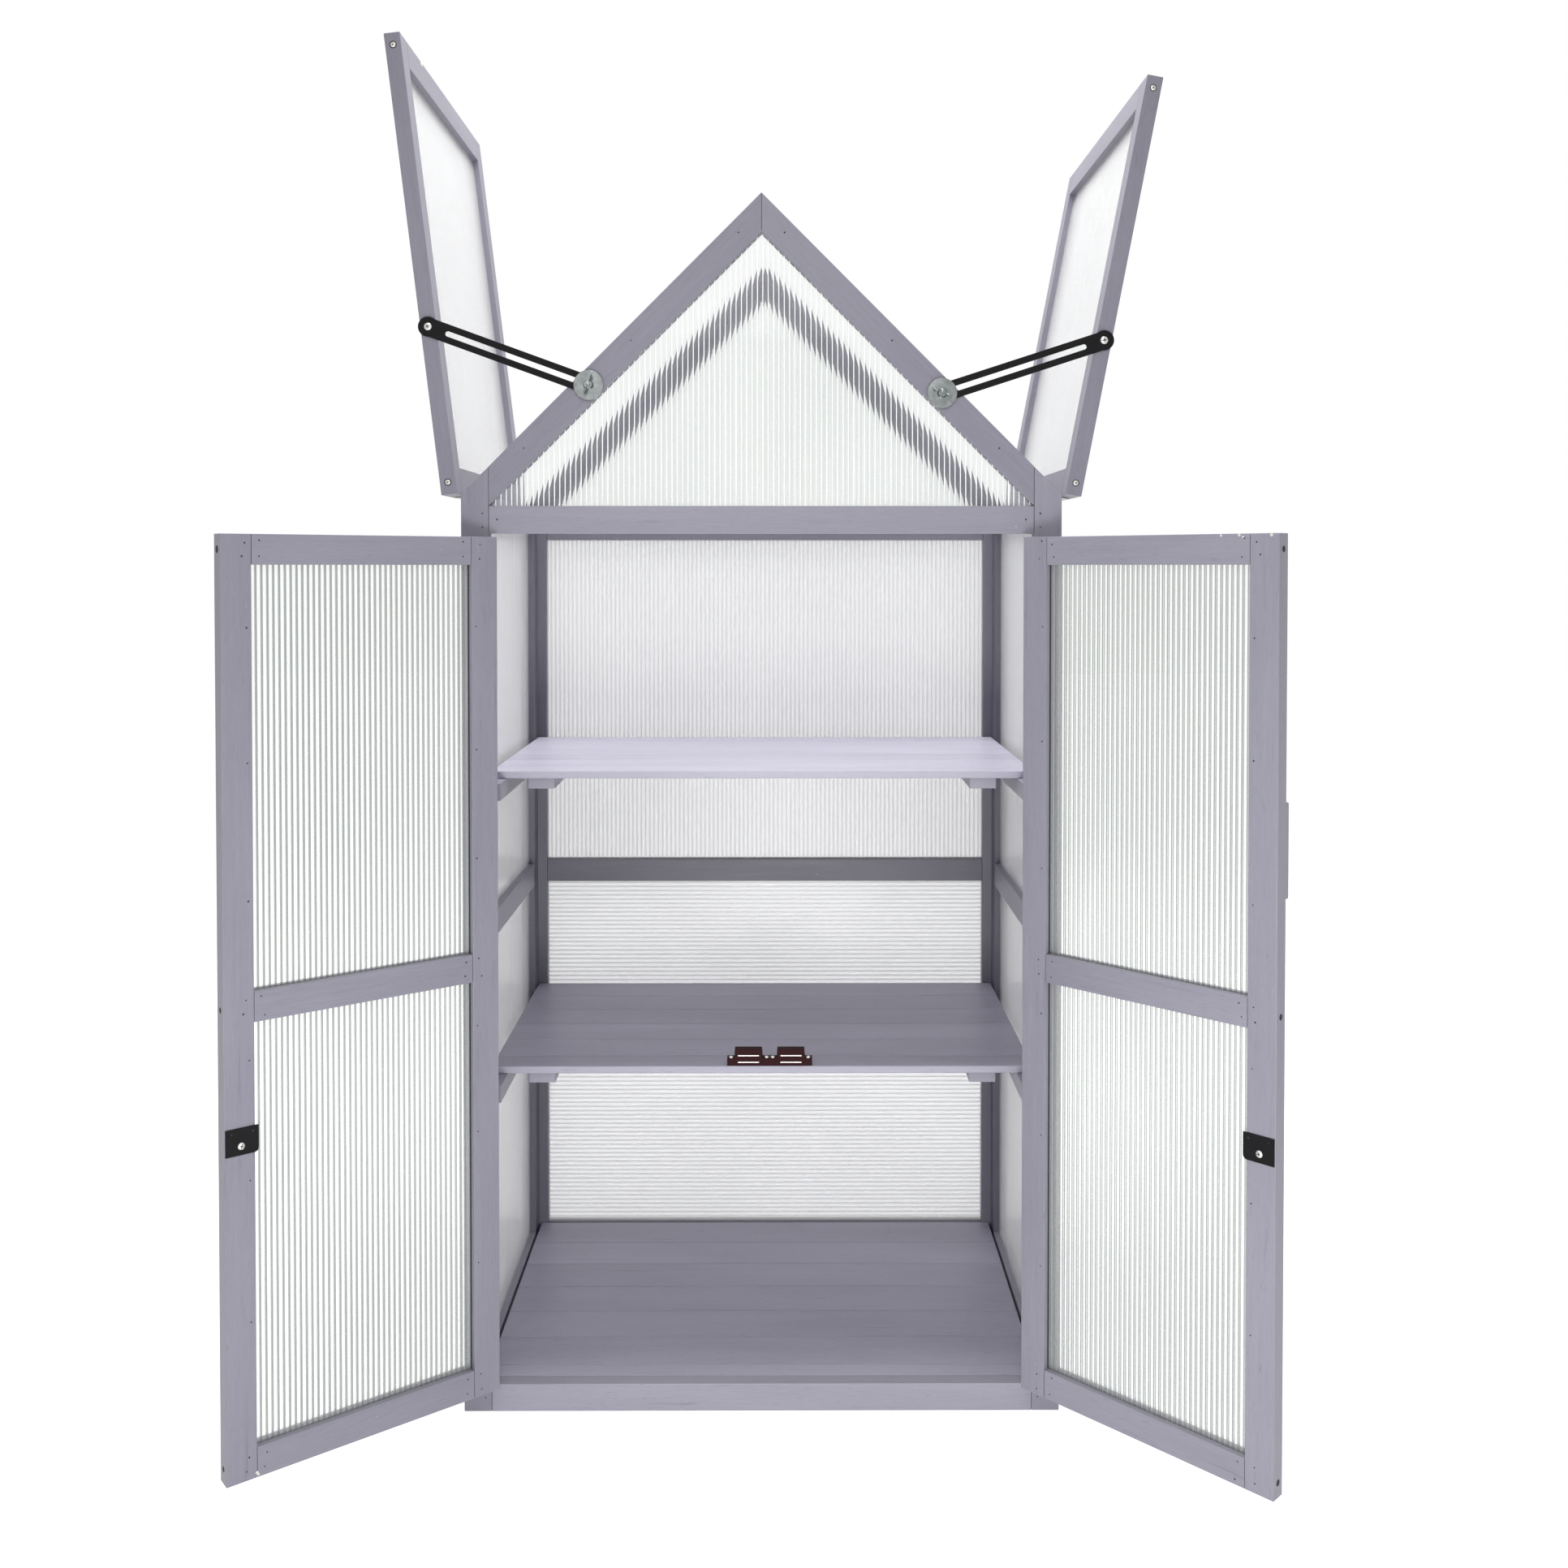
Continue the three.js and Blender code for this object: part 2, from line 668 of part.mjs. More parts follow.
function stayShape(side) {
  const turn = side > 0 ? Math.PI : 0;
  const far = -side * openChord;
  const half = stayWidth / 2;
  const meet = Math.asin(half / stayHeadRadius);
  const shape = new THREE.Shape();
  shape.absarc(0, 0, stayHeadRadius, turn + meet, turn + 2 * Math.PI - meet, false);
  shape.absarc(far, 0, half, turn - Math.PI / 2, turn + Math.PI / 2, false);
  shape.closePath();
  const hole = new THREE.Path();
  hole.absarc(0, 0, stayPinRadius + stayPlay, 0, 2 * Math.PI, true);
  const slot = new THREE.Path();
  const near = -side * (slotStart + slotWidth / 2);
  slot.absarc(near, 0, slotWidth / 2, turn + Math.PI * 3 / 2, turn + Math.PI / 2, true);
  slot.absarc(far, 0, slotWidth / 2, turn + Math.PI / 2, turn - Math.PI / 2, true);
  slot.closePath();
  shape.holes.push(hole, slot);
  return shape;
}

function stay(parent, word, side) {
  const screw = stayScrewPlace(word, side);
  const bolt = stayBoltPlace(word, side);
  const group = new THREE.Group();
  group.position.set(screw.x, 0, screw.z);
  group.rotation.y = -side * Math.atan2(screw.z - bolt.z, Math.abs(screw.x - bolt.x));
  parent.add(group);
  const y = [frontFace - stayPlay - stayThick, frontFace - stayPlay];
  addPiece(group, `${word}_lid_stay`, slab(stayShape(side), y), colours.blackSteel);
}

// A bolt with a broad washer and a winged head, turned into the rafter
function wingBolt(parent, word, side) {
  const { x, z } = stayBoltPlace(word, side);
  const washerBack = frontFace - stayPlay - stayThick - jointGap;
  const washerFront = washerBack - washerThick;
  const hubFront = washerFront - wingHubHeight;
  const lift = wingHubRadius / 2;
  let solid = roundY(boltRadius, x, z, [washerBack - weldDepth, frontFace + boltBuried]);
  solid = solid.add(roundY(washerRadius, x, z, [washerFront, washerBack], 2 * roundSides));
  solid = solid.add(roundY(wingHubRadius, x, z, [hubFront, washerFront + weldDepth / 2]));
  for (const way of [-1, 1]) {
    const outline = [
      [0, washerFront - lift],
      [way * wingSpan, hubFront],
      [way * wingSpan, washerFront - wingRise],
      [way * wingHubRadius, hubFront],
      [0, hubFront],
    ];
    solid = solid.add(wing(outline, x, z));
  }
  addPiece(parent, `${word}_stay_bolt`, solid, colours.zinc);
}

// A flat wing from an outline of [x, y] points about the bolt
function wing(outline, x, z) {
  const points = outline.map(([across, y]) => new THREE.Vector2(across, y));
  if (THREE.ShapeUtils.isClockWise(points)) {
    points.reverse();
  }
  const geometry = new THREE.ExtrudeGeometry(new THREE.Shape(points), { depth: wingThick, bevelEnabled: false });
  geometry.translate(x, 0, z - wingThick / 2);
  return toSolid(geometry);
}

// The whole greenhouse

const greenhouse = new THREE.Group();
frontFrame(greenhouse);
rearFrame(greenhouse);
floorDeck(greenhouse);
shelf(greenhouse, 'upper');
shelf(greenhouse, 'lower');
magneticCatch(greenhouse);
for (const [word, side] of [['left', -1], ['right', 1]]) {
  sideFrame(greenhouse, word, side);
  const leaf = door(greenhouse, word, side);
  if (word === 'right') {
    doorHandle(leaf, side);
  }
  lid(greenhouse, word, side);
  stay(greenhouse, word, side);
  wingBolt(greenhouse, word, side);
}

export default greenhouse;
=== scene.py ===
"""Looks of a tall wooden mini greenhouse with a gabled roof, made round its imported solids."""
import json
import math
import random

import bmesh
import bpy
from mathutils import Matrix, Vector

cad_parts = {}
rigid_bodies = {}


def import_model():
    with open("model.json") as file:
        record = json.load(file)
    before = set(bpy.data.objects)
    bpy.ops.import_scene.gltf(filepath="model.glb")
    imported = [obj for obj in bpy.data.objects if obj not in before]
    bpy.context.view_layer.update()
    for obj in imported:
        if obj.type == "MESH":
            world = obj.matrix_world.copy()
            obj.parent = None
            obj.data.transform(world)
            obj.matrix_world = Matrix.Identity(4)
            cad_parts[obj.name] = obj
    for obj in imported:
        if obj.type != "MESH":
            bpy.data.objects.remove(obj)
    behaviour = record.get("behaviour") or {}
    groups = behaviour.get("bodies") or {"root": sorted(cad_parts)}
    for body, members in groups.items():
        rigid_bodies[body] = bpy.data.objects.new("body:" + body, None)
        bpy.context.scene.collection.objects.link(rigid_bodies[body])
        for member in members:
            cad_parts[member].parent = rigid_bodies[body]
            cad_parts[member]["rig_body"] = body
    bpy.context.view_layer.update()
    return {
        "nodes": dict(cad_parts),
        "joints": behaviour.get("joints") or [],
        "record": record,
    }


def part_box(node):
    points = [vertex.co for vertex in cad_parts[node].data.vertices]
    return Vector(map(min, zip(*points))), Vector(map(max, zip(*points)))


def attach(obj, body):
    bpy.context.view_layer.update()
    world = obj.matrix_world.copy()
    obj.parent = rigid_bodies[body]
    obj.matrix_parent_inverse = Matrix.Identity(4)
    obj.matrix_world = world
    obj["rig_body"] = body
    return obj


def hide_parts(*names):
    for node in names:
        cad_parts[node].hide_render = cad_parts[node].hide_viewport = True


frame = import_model()
nodes = frame["nodes"]

X, Y, Z = Vector((1, 0, 0)), Vector((0, 1, 0)), Vector((0, 0, 1))
SIDES = {"left": -1, "right": 1}

# Sizes in metres, as in the part's source or worked out from it to 0.1 mm
TIMBER_WIDTH = 0.036
TIMBER_THICK = 0.021
PANEL_THICK = 0.004
HALF_WIDTH = 0.392
POST_INNER = HALF_WIDTH - TIMBER_WIDTH
SIDE_INNER = HALF_WIDTH - TIMBER_THICK
FRONT = -0.0105
FRONT_INNER = FRONT + TIMBER_THICK
REAR_INNER = 0.4905
RIDGE = 1.6
JOINT = 0.0003
MID_RAIL_LOW = 0.599
SHELF_TOPS = {"upper": 0.836, "lower": 0.433}
SHELF_FRONT = FRONT + 0.075
SHELF_DEPTH = 0.420
BOARD_THICK = 0.010
PLANK_WIDTH = 0.075
SILL_TOP = 0.036
CLEAT_WIDTH = 0.024
CLEAT_HEIGHT = 0.023
CLEAT_END = 0.006
BATTEN_CENTRE = 0.301
BATTEN_WIDTH = 0.036
BATTEN_THICK = 0.015
BATTEN_INSET = 0.008
DOOR_ANGLES = {"left": math.radians(142.3), "right": math.radians(135.3)}
DOOR_AXIS_X = POST_INNER - 0.0013
DOOR_AXIS_Y = FRONT - 0.0034
DOOR_FACE = 0.0034
DOOR_NEAR = 0.0013
DOOR_FAR = 0.3537
DOOR_LOW = 0.042
DOOR_HIGH = 1.1517
DOOR_MID_RAIL = 0.5805
EAVE_X = 0.3955
EAVE_Z = RIDGE - EAVE_X
LID_LEANS = {"left": math.radians(6.9), "right": math.radians(10.9)}
LID_REACHES = {"left": 0.607, "right": 0.5588}
LID_DEPTH = 0.536
LID_GAP = 0.0005
LID_LOW = 0.0046
HINGE_LENGTH = 0.060
KNUCKLE_RADIUS = 0.003
KNUCKLE_BORE = 0.0016
LEAF_THICK = 0.0009
LEAF_WIDTH = 0.017
DOOR_HINGE_HEIGHTS = (DOOR_LOW + 0.150, DOOR_HIGH - 0.150)
LID_HINGE_PLACES = (FRONT + 0.095, REAR_INNER + TIMBER_THICK - 0.095)
STAY_FACE = FRONT - 0.0029
STAY_CLEAR = 0.0003
STRIKE_THICK = 0.0012
STRIKE_HALF = 0.016
CATCH_MIDDLE = 0.011

# Sizes that only the looks have
GROOVE_LAP = 0.0078
FLUTE_PITCH = 0.007
LENS_DEPTH = 0.00010
RIPPLE_DEPTH = 0.00012
WEB_HALF = 0.00045
BRAD_RADIUS = 0.0011

# How pale each timber's paint is, with painted light and shade mixed in: the front sill's tone above 1 is
# painted light, the lids' low tone and the drops on the rear mid rail and rear stiles are painted shade, and
# the doors' and front rafters' tones set the left one darker than the right. A timber that is given no tone
# draws one from 0 to 1, and a drop is taken off such a draw
RAFTER_TONES = {"left": -0.2, "right": 0.2}
# The front sill's tone above 1 is painted light.
FRONT_RAIL_TONES_AND_LIGHT = {"front_header": 0.6, "front_sill": 1.2}
# The drops darken the rear mid rail and the rear stiles: painted shade.
REAR_RAIL_SHADE_DROPS = {"rear_header": 0.0, "rear_mid_rail": 0.9, "rear_sill": 0.0}
REAR_STILE_SHADE_DROP = 0.6
DOOR_TONES = {"left": 0.0, "right": 0.5}
# The lids' low tone is painted shade.
LID_SHADE_TONE = -0.3

# Turned pieces of the stay bolts, as (radius, height) points from the washer's back
WASHER_PROFILE = [
    (0.003, 0), (0.019, 0), (0.0195, 0.0005), (0.0195, 0.0010), (0.0188, 0.0015),
    (0.0048, 0.0015), (0.0042, 0.0010), (0.003, 0.0010), (0.003, 0),
]
NUT_PROFILE = [
    (0.0031, 0.0016), (0.0066, 0.0016), (0.0068, 0.0024), (0.0058, 0.0072),
    (0.0050, 0.0082), (0.0031, 0.0082), (0.0031, 0.0016),
]

# Each wing nut's turn, its wings' half sizes, place and lean, and the thread of its stud
NUT_TWISTS = {"left": math.radians(68), "right": math.radians(-24)}
WING_HALVES = (0.0062, 0.0014, 0.0042)
WING_OUT, WING_UP = 0.0082, 0.0076
WING_LEAN = math.radians(-42)
THREAD_START = -0.016
THREAD_PITCH = 0.0006
THREAD_TURNS = 44

# Each lamp's place, size and power
LAMPS = {
    "top_lamp": ((0.0, 0.3, 3.0), 0.9, 44),
    "front_lamp": ((-0.1, -1.9, 2.2), 1.2, 11),
    "low_lamp": ((0.05, -1.9, 0.3), 0.5, 16),
    "rear_lamp": ((0.6, 3.2, 1.6), 1.8, 9),
}
LAMP_AIM = Vector((0, 0.25, 0.2))

# The photo's side, focal length and centre row in pixels, and its camera's place in metres
PHOTO_SIDE = 1932
FOCAL_PIXELS = 1896.18
CENTRE_ROW = 735.44
EYE = (0.02155, -2.01999, 1.11339)
EYE_TILT, EYE_PAN = math.radians(90 - 1.12), math.radians(-0.22)

draw = random.Random(7)


def door_place(word):
    side = SIDES[word]
    turn = Matrix.Rotation(side * DOOR_ANGLES[word], 4, "Z")
    return Matrix.Translation((side * DOOR_AXIS_X, DOOR_AXIS_Y, 0)) @ turn


def lid_place(word):
    side = SIDES[word]
    turn = Matrix.Rotation(side * LID_LEANS[word], 4, "Y")
    return Matrix.Translation((side * EAVE_X, 0, EAVE_Z)) @ turn


# Materials


class Flow:
    """A socket's output that takes part in sums."""

    def __init__(self, tree, socket):
        self.tree = tree
        self.socket = socket

    def maths(self, operation, *terms, clamp=False):
        node = self.tree.nodes.new("ShaderNodeMath")
        node.operation = operation
        node.use_clamp = clamp
        for plug, term in zip(node.inputs, terms):
            if isinstance(term, Flow):
                self.tree.links.new(term.socket, plug)
            else:
                plug.default_value = term
        return Flow(self.tree, node.outputs[0])

    def __add__(self, other):
        return self.maths("ADD", self, other)

    def __radd__(self, other):
        return self.maths("ADD", other, self)

    def __sub__(self, other):
        return self.maths("SUBTRACT", self, other)

    def __rsub__(self, other):
        return self.maths("SUBTRACT", other, self)

    def __mul__(self, other):
        return self.maths("MULTIPLY", self, other)

    def __rmul__(self, other):
        return self.maths("MULTIPLY", other, self)

    def clipped(self):
        return self.maths("MULTIPLY", self, 1.0, clamp=True)


class Shading:
    """The nodes of a material or of the world."""

    def __init__(self, owner):
        owner.use_nodes = True
        self.tree = owner.node_tree
        self.tree.nodes.clear()

    def node(self, kind, settings=None, output=0, **plugs):
        made = self.tree.nodes.new("ShaderNode" + kind)
        for key, value in (settings or {}).items():
            setattr(made, key, value)
        for key, value in plugs.items():
            plug = made.inputs[int(key[1:])] if key[1:].isdigit() else made.inputs[key.replace("_", " ")]
            if isinstance(value, Flow):
                self.tree.links.new(value.socket, plug)
            else:
                plug.default_value = value
        return Flow(self.tree, made.outputs[output]) if len(made.outputs) else None


class Finish(Shading):
    """A material and the nodes that it is made of."""

    def __init__(self, name):
        self.material = bpy.data.materials.new(name)
        super().__init__(self.material)

    def stretched(self, vector, scale):
        return self.node("VectorMath", {"operation": "MULTIPLY"}, i0=vector, i1=scale)

    def noise(self, vector, scale, detail=3.0, roughness=0.5):
        return self.node("TexNoise", Vector=vector, Scale=scale, Detail=detail, Roughness=roughness)

    def ramp(self, factor, low, high):
        """0 at low and past it, 1 at high and past it, and a straight slope between."""
        return self.node("MapRange", i0=factor, i1=low, i2=high, i3=0.0, i4=1.0)

    def mixed(self, factor, first, second):
        return self.node("Mix", {"data_type": "RGBA"}, output=2, i0=factor, i6=first, i7=second)

    def bump(self, height, distance, strength=1.0):
        return self.node("Bump", Height=height, Distance=distance, Strength=strength)

    def surface(self, **plugs):
        shader = self.node("BsdfPrincipled", **plugs)
        self.node("OutputMaterial", Surface=shader)
        return self.material


def rgb(*levels):
    """A colour as it is read from a screen, 0 to 255, made linear."""
    linear = [(v / 255 / 12.92) if v <= 10 else ((v / 255 + 0.055) / 1.055) ** 2.4 for v in levels]
    return (*linear, 1.0)


def painted_timber(name, deep, pale):
    """Thin purple-grey paint, with the grain showing through it and a few pale chips."""
    make = Finish(name)
    grain = make.node("Attribute", {"attribute_name": "grain"}, output=1)
    tone_and_painted_light = make.node("Attribute", {"attribute_name": "tone_and_painted_light"}, output=2)
    streak = make.noise(make.stretched(grain, (7, 210, 210)), 1.0, 5.0, 0.6)
    cloud = make.noise(make.stretched(grain, (3, 14, 14)), 1.0, 2.0)
    pores = make.noise(make.stretched(grain, (40, 620, 620)), 1.0, 2.0)
    speck = make.noise(make.stretched(grain, (130, 260, 260)), 1.0, 2.0)
    # The tone attribute also carries painted light on the planks and front sill, and painted shade on the
    # lids, rear mid rail and rear stiles.
    shade = make.ramp(streak * 0.22 + cloud * 0.45 + tone_and_painted_light * 0.3 + pores * 0.3, 0.3, 0.95)
    paint = make.mixed(shade, deep, pale)
    line = make.ramp(streak, 0.36, 0.28)
    grained = make.mixed(line * 0.4, paint, rgb(104, 101, 114))
    fleck = make.ramp(pores, 0.66, 0.74)
    flecked = make.mixed(fleck * 0.5, grained, rgb(100, 97, 110))
    chips = make.ramp(speck, 0.79, 0.81)
    colour = make.mixed(chips * 0.75, flecked, rgb(214, 210, 210))
    rough = 0.34 + streak * 0.14 + chips * 0.2
    height = streak * 0.5 + pores * 0.5 - chips * 0.5
    normal = make.bump(height, 0.0003, 0.4)
    return make.surface(Base_Color=colour, Roughness=rough, Normal=normal)


def fluted_sheet(name, clear, milk, rib_tint, rib_share, passing):
    """Plastic sheet with ribs between its walls. The flute attribute counts the ribs."""
    make = Finish(name)
    flute = make.node("Attribute", {"attribute_name": "flute"}, output=1)
    across = make.node("SeparateXYZ", i0=flute)
    wave = across.maths("PINGPONG", across, 0.5)
    rib = make.ramp(wave, rib_share / 2 + 0.03, rib_share / 2 - 0.03)
    haze = make.noise(make.stretched(flute, (0.05, 4, 4)), 1.0, 3.0)
    smear = make.noise(make.stretched(flute, (0.9, 1.5, 1.5)), 1.0, 3.0)
    colour = make.mixed(rib, milk, rib_tint)
    alpha = (1 - clear + rib * (clear * 0.8) + haze * 0.16).clipped()
    rough = 0.12 + smear * 0.14
    return make.surface(
        Base_Color=colour, Roughness=rough, Alpha=alpha, Transmission_Weight=passing, IOR=1.22
    )


def gable_sheet():
    """Clear sheet whose flutes bend what is seen through them."""
    make = Finish("clear_lens_sheet")
    flute = make.node("Attribute", {"attribute_name": "flute"}, output=1)
    haze = make.noise(make.stretched(flute, (0.05, 4, 4)), 1.0, 3.0)
    colour = make.mixed(haze, rgb(236, 238, 237), rgb(246, 247, 246))
    return make.surface(
        Base_Color=colour, Roughness=0.02 + haze * 0.04, Alpha=0.96, Transmission_Weight=0.97, IOR=1.2
    )


def sheet_webs():
    """The white walls between the flutes, with a faint painted glow, which is painted light."""
    make = Finish("white_sheet_webs_with_painted_glow")
    spot = make.node("TexCoord", output="Object")
    cloud = make.noise(spot, 6.0, 2.0)
    colour = make.mixed(cloud, rgb(246, 248, 247), rgb(255, 255, 255))
    # The emission is painted light.
    return make.surface(
        Base_Color=colour, Roughness=0.25 + cloud * 0.1, Alpha=0.9,
        Emission_Color=colour, Emission_Strength=0.25,
    )


def bright_zinc():
    make = Finish("bright_zinc")
    spot = make.node("TexCoord", output="Object")
    cloud = make.noise(spot, 90.0, 3.0)
    scratch = make.noise(make.stretched(spot, (900, 200, 900)), 1.0, 2.0)
    colour = make.mixed(cloud, rgb(98, 103, 103), rgb(160, 164, 164))
    rough = 0.17 + cloud * 0.14
    normal = make.bump(scratch, 0.0001, 0.25)
    return make.surface(Base_Color=colour, Metallic=1.0, Roughness=rough, Normal=normal)


def pole_steel():
    make = Finish("pole_steel")
    spot = make.node("TexCoord", output="Object")
    cloud = make.noise(make.stretched(spot, (60, 400, 400)), 1.0, 2.0)
    colour = make.mixed(cloud, rgb(196, 192, 188), rgb(226, 223, 219))
    return make.surface(Base_Color=colour, Metallic=0.6, Roughness=0.3 + cloud * 0.15)


def black_steel():
    make = Finish("black_steel")
    spot = make.node("TexCoord", output="Object")
    peel = make.noise(spot, 1100.0, 2.0)
    cloud = make.noise(spot, 60.0, 2.0)
    colour = make.mixed(cloud, rgb(13, 13, 15), rgb(26, 26, 28))
    rough = 0.46 + cloud * 0.18
    normal = make.bump(peel, 0.0001, 0.3)
    return make.surface(Base_Color=colour, Roughness=rough, Normal=normal, Specular_IOR_Level=0.12)


def brown_plastic():
    make = Finish("brown_plastic")
    spot = make.node("TexCoord", output="Object")
    fine = make.noise(spot, 900.0, 2.0)
    colour = make.mixed(fine, rgb(40, 14, 17), rgb(54, 22, 25))
    normal = make.bump(fine, 0.0001, 0.3)
    rough = 0.5 + fine * 0.1
    return make.surface(Base_Color=colour, Roughness=rough, Normal=normal, Specular_IOR_Level=0.08)


def bare_wood():
    make = Finish("bare_wood")
    spot = make.node("TexCoord", output="Object")
    fine = make.noise(spot, 500.0, 2.0)
    colour = make.mixed(fine, rgb(205, 200, 198), rgb(236, 232, 226))
    return make.surface(Base_Color=colour, Roughness=0.6 + fine * 0.2)


def hole_shadow():
    make = Finish("hole_shadow")
    spot = make.node("TexCoord", output="Object")
    fine = make.noise(spot, 700.0, 2.0)
    colour = make.mixed(fine, rgb(34, 32, 38), rgb(58, 54, 64))
    return make.surface(Base_Color=colour, Roughness=0.8 + fine * 0.1)


CLEAR_WALL = (0.985, 0.995, 0.99, 1)
FINISHES = {
    "timber": painted_timber("painted_timber", rgb(129, 127, 140), rgb(162, 160, 173)),
    # The planks' paler paint is painted light.
    "plank_paint_with_painted_light": painted_timber("planks_with_painted_light", rgb(148, 145, 161), rgb(188, 185, 201)),
    # The rear frame's darker paint is painted shade.
    "shaded_rear_paint": painted_timber("rear_timber_with_painted_shade", rgb(92, 90, 102), rgb(122, 120, 132)),
    "panel": fluted_sheet("clear_fluted_sheet", 0.86, CLEAR_WALL, rgb(146, 154, 149), 0.27, 0.42),
    "milky": fluted_sheet("milky_fluted_sheet", 0.41, rgb(247, 247, 248), rgb(230, 231, 231), 0.30, 0.46),
    "gable": gable_sheet(),
    "webs": sheet_webs(),
    "zinc": bright_zinc(),
    "pole_steel": pole_steel(),
    "black_steel": black_steel(),
    "brown_plastic": brown_plastic(),
    "hole": hole_shadow(),
    "bare": bare_wood(),
}


# Making pieces


def mark_grain(bm, along, tone_and_painted_light=None):
    """Each vertex gets its place along and across the grain, shifted at random, and the piece's tone, which
    on the planks and front sill also carries painted light and on the lids, rear mid rail and rear stiles
    painted shade.
    """
    along = along.normalized()
    other = Y if abs(along.dot(Y)) < 0.9 else X
    across = along.cross(other).normalized()
    third = along.cross(across)
    shift = Vector([draw.uniform(0, 9) for _ in range(3)])
    grain = bm.verts.layers.float_vector.new("grain")
    level = bm.verts.layers.float.new("tone_and_painted_light")
    value = draw.uniform(0, 1) if tone_and_painted_light is None else tone_and_painted_light
    for vert in bm.verts:
        vert[grain] = Vector((vert.co.dot(along), vert.co.dot(across), vert.co.dot(third))) + shift
        vert[level] = value


def add_piece(name, bm, body, finish, place=None, stands_for=(), smooth=False, more=()):
    if place is not None:
        bmesh.ops.transform(bm, matrix=place, verts=bm.verts)
    mesh = bpy.data.meshes.new(name)
    bm.to_mesh(mesh)
    bm.free()
    piece = bpy.data.objects.new(name, mesh)
    bpy.context.scene.collection.objects.link(piece)
    for key in (finish, *more):
        mesh.materials.append(FINISHES[key])
    if smooth:
        mesh.polygons.foreach_set("use_smooth", [True] * len(mesh.polygons))
        mesh.set_sharp_from_angle(angle=math.radians(35))
    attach(piece, body)
    if stands_for:
        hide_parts(*stands_for)


def box_in(bm, low, high):
    low, high = Vector(map(min, low, high)), Vector(map(max, low, high))
    size = high - low
    matrix = Matrix.Translation((low + high) / 2) @ Matrix.Diagonal((*size, 1))
    return bmesh.ops.create_cube(bm, size=1, matrix=matrix)["verts"]


def round_edges(bm, edges, width, segments=2):
    bmesh.ops.bevel(
        bm, geom=edges, offset=width, segments=segments, profile=0.5, affect="EDGES",
        material=-1, clamp_overlap=True,
    )


def bar(name, body, low, high, place=None, stands_for=(), edge=0.0008, tone_and_painted_light=None, finish="timber"):
    """A straight timber between two corners, with its edges eased."""
    bm = bmesh.new()
    box_in(bm, low, high)
    round_edges(bm, bm.edges[:], edge)
    size = [abs(b - a) for a, b in zip(low, high)]
    mark_grain(bm, (X, Y, Z)[size.index(max(size))], tone_and_painted_light)
    add_piece(name, bm, body, finish, place, stands_for)


def board(name, body, outline, y, along, stands_for=()):
    """A flat timber from an outline of (x, z) points, with thickness along Y."""
    bm = bmesh.new()
    face = bm.faces.new([bm.verts.new((x, y[0], z)) for x, z in outline])
    grown = bmesh.ops.extrude_face_region(bm, geom=[face])["geom"]
    moved = [part for part in grown if isinstance(part, bmesh.types.BMVert)]
    bmesh.ops.translate(bm, vec=(0, y[1] - y[0], 0), verts=moved)
    bmesh.ops.recalc_face_normals(bm, faces=bm.faces)
    round_edges(bm, bm.edges[:], 0.0008)
    mark_grain(bm, along)
    add_piece(name, bm, body, "timber", None, stands_for)


def eased(node, along, finish="timber", width=0.0007, tone_and_painted_light=None):
    """A copy of a solid's mesh with its edges eased, which stands for it."""
    bm = bmesh.new()
    bm.from_mesh(nodes[node].data)
    bmesh.ops.remove_doubles(bm, verts=bm.verts, dist=0.00002)
    bmesh.ops.dissolve_limit(bm, angle_limit=math.radians(1), verts=bm.verts, edges=bm.edges)
    sharp = [edge for edge in bm.edges if edge.is_manifold and edge.calc_face_angle(0) > math.radians(35)]
    round_edges(bm, sharp, width)
    mark_grain(bm, along, tone_and_painted_light)
    add_piece(node + "_eased", bm, nodes[node]["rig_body"], finish, None, (node,))


def tube_in(bm, centre, axis, span, outer, inner, steps=20):
    """A ring of the given radii about an axis through centre, over a span along that axis."""
    low, high = span
    profile = [(outer, low), (outer, high), (inner, high), (inner, low), (outer, low)]
    turned_in(bm, profile, facing(centre, axis), steps)


def turned_in(bm, profile, place, steps=24):
    """A solid of revolution from (radius, height) points, about place's Z axis."""
    verts = [bm.verts.new(Vector((r, 0, h))) for r, h in profile]
    edges = [bm.edges.new(pair) for pair in zip(verts, verts[1:])]
    before = set(bm.verts)
    bmesh.ops.spin(
        bm, geom=verts + edges, cent=(0, 0, 0), axis=Z, angle=2 * math.pi, steps=steps, use_merge=True,
    )
    fresh = list((set(bm.verts) - before) | set(verts))
    bmesh.ops.remove_doubles(bm, verts=fresh, dist=0.00001)
    fresh = [vert for vert in fresh if vert.is_valid]
    faces = list({face for vert in fresh for face in vert.link_faces})
    bmesh.ops.recalc_face_normals(bm, faces=faces)
    bmesh.ops.transform(bm, matrix=place, verts=fresh)


def facing(point, normal):
    """A matrix that puts Z along the normal at the point."""
    turn = Vector(normal).to_track_quat("Z", "Y").to_matrix().to_4x4()
    return Matrix.Translation(point) @ turn


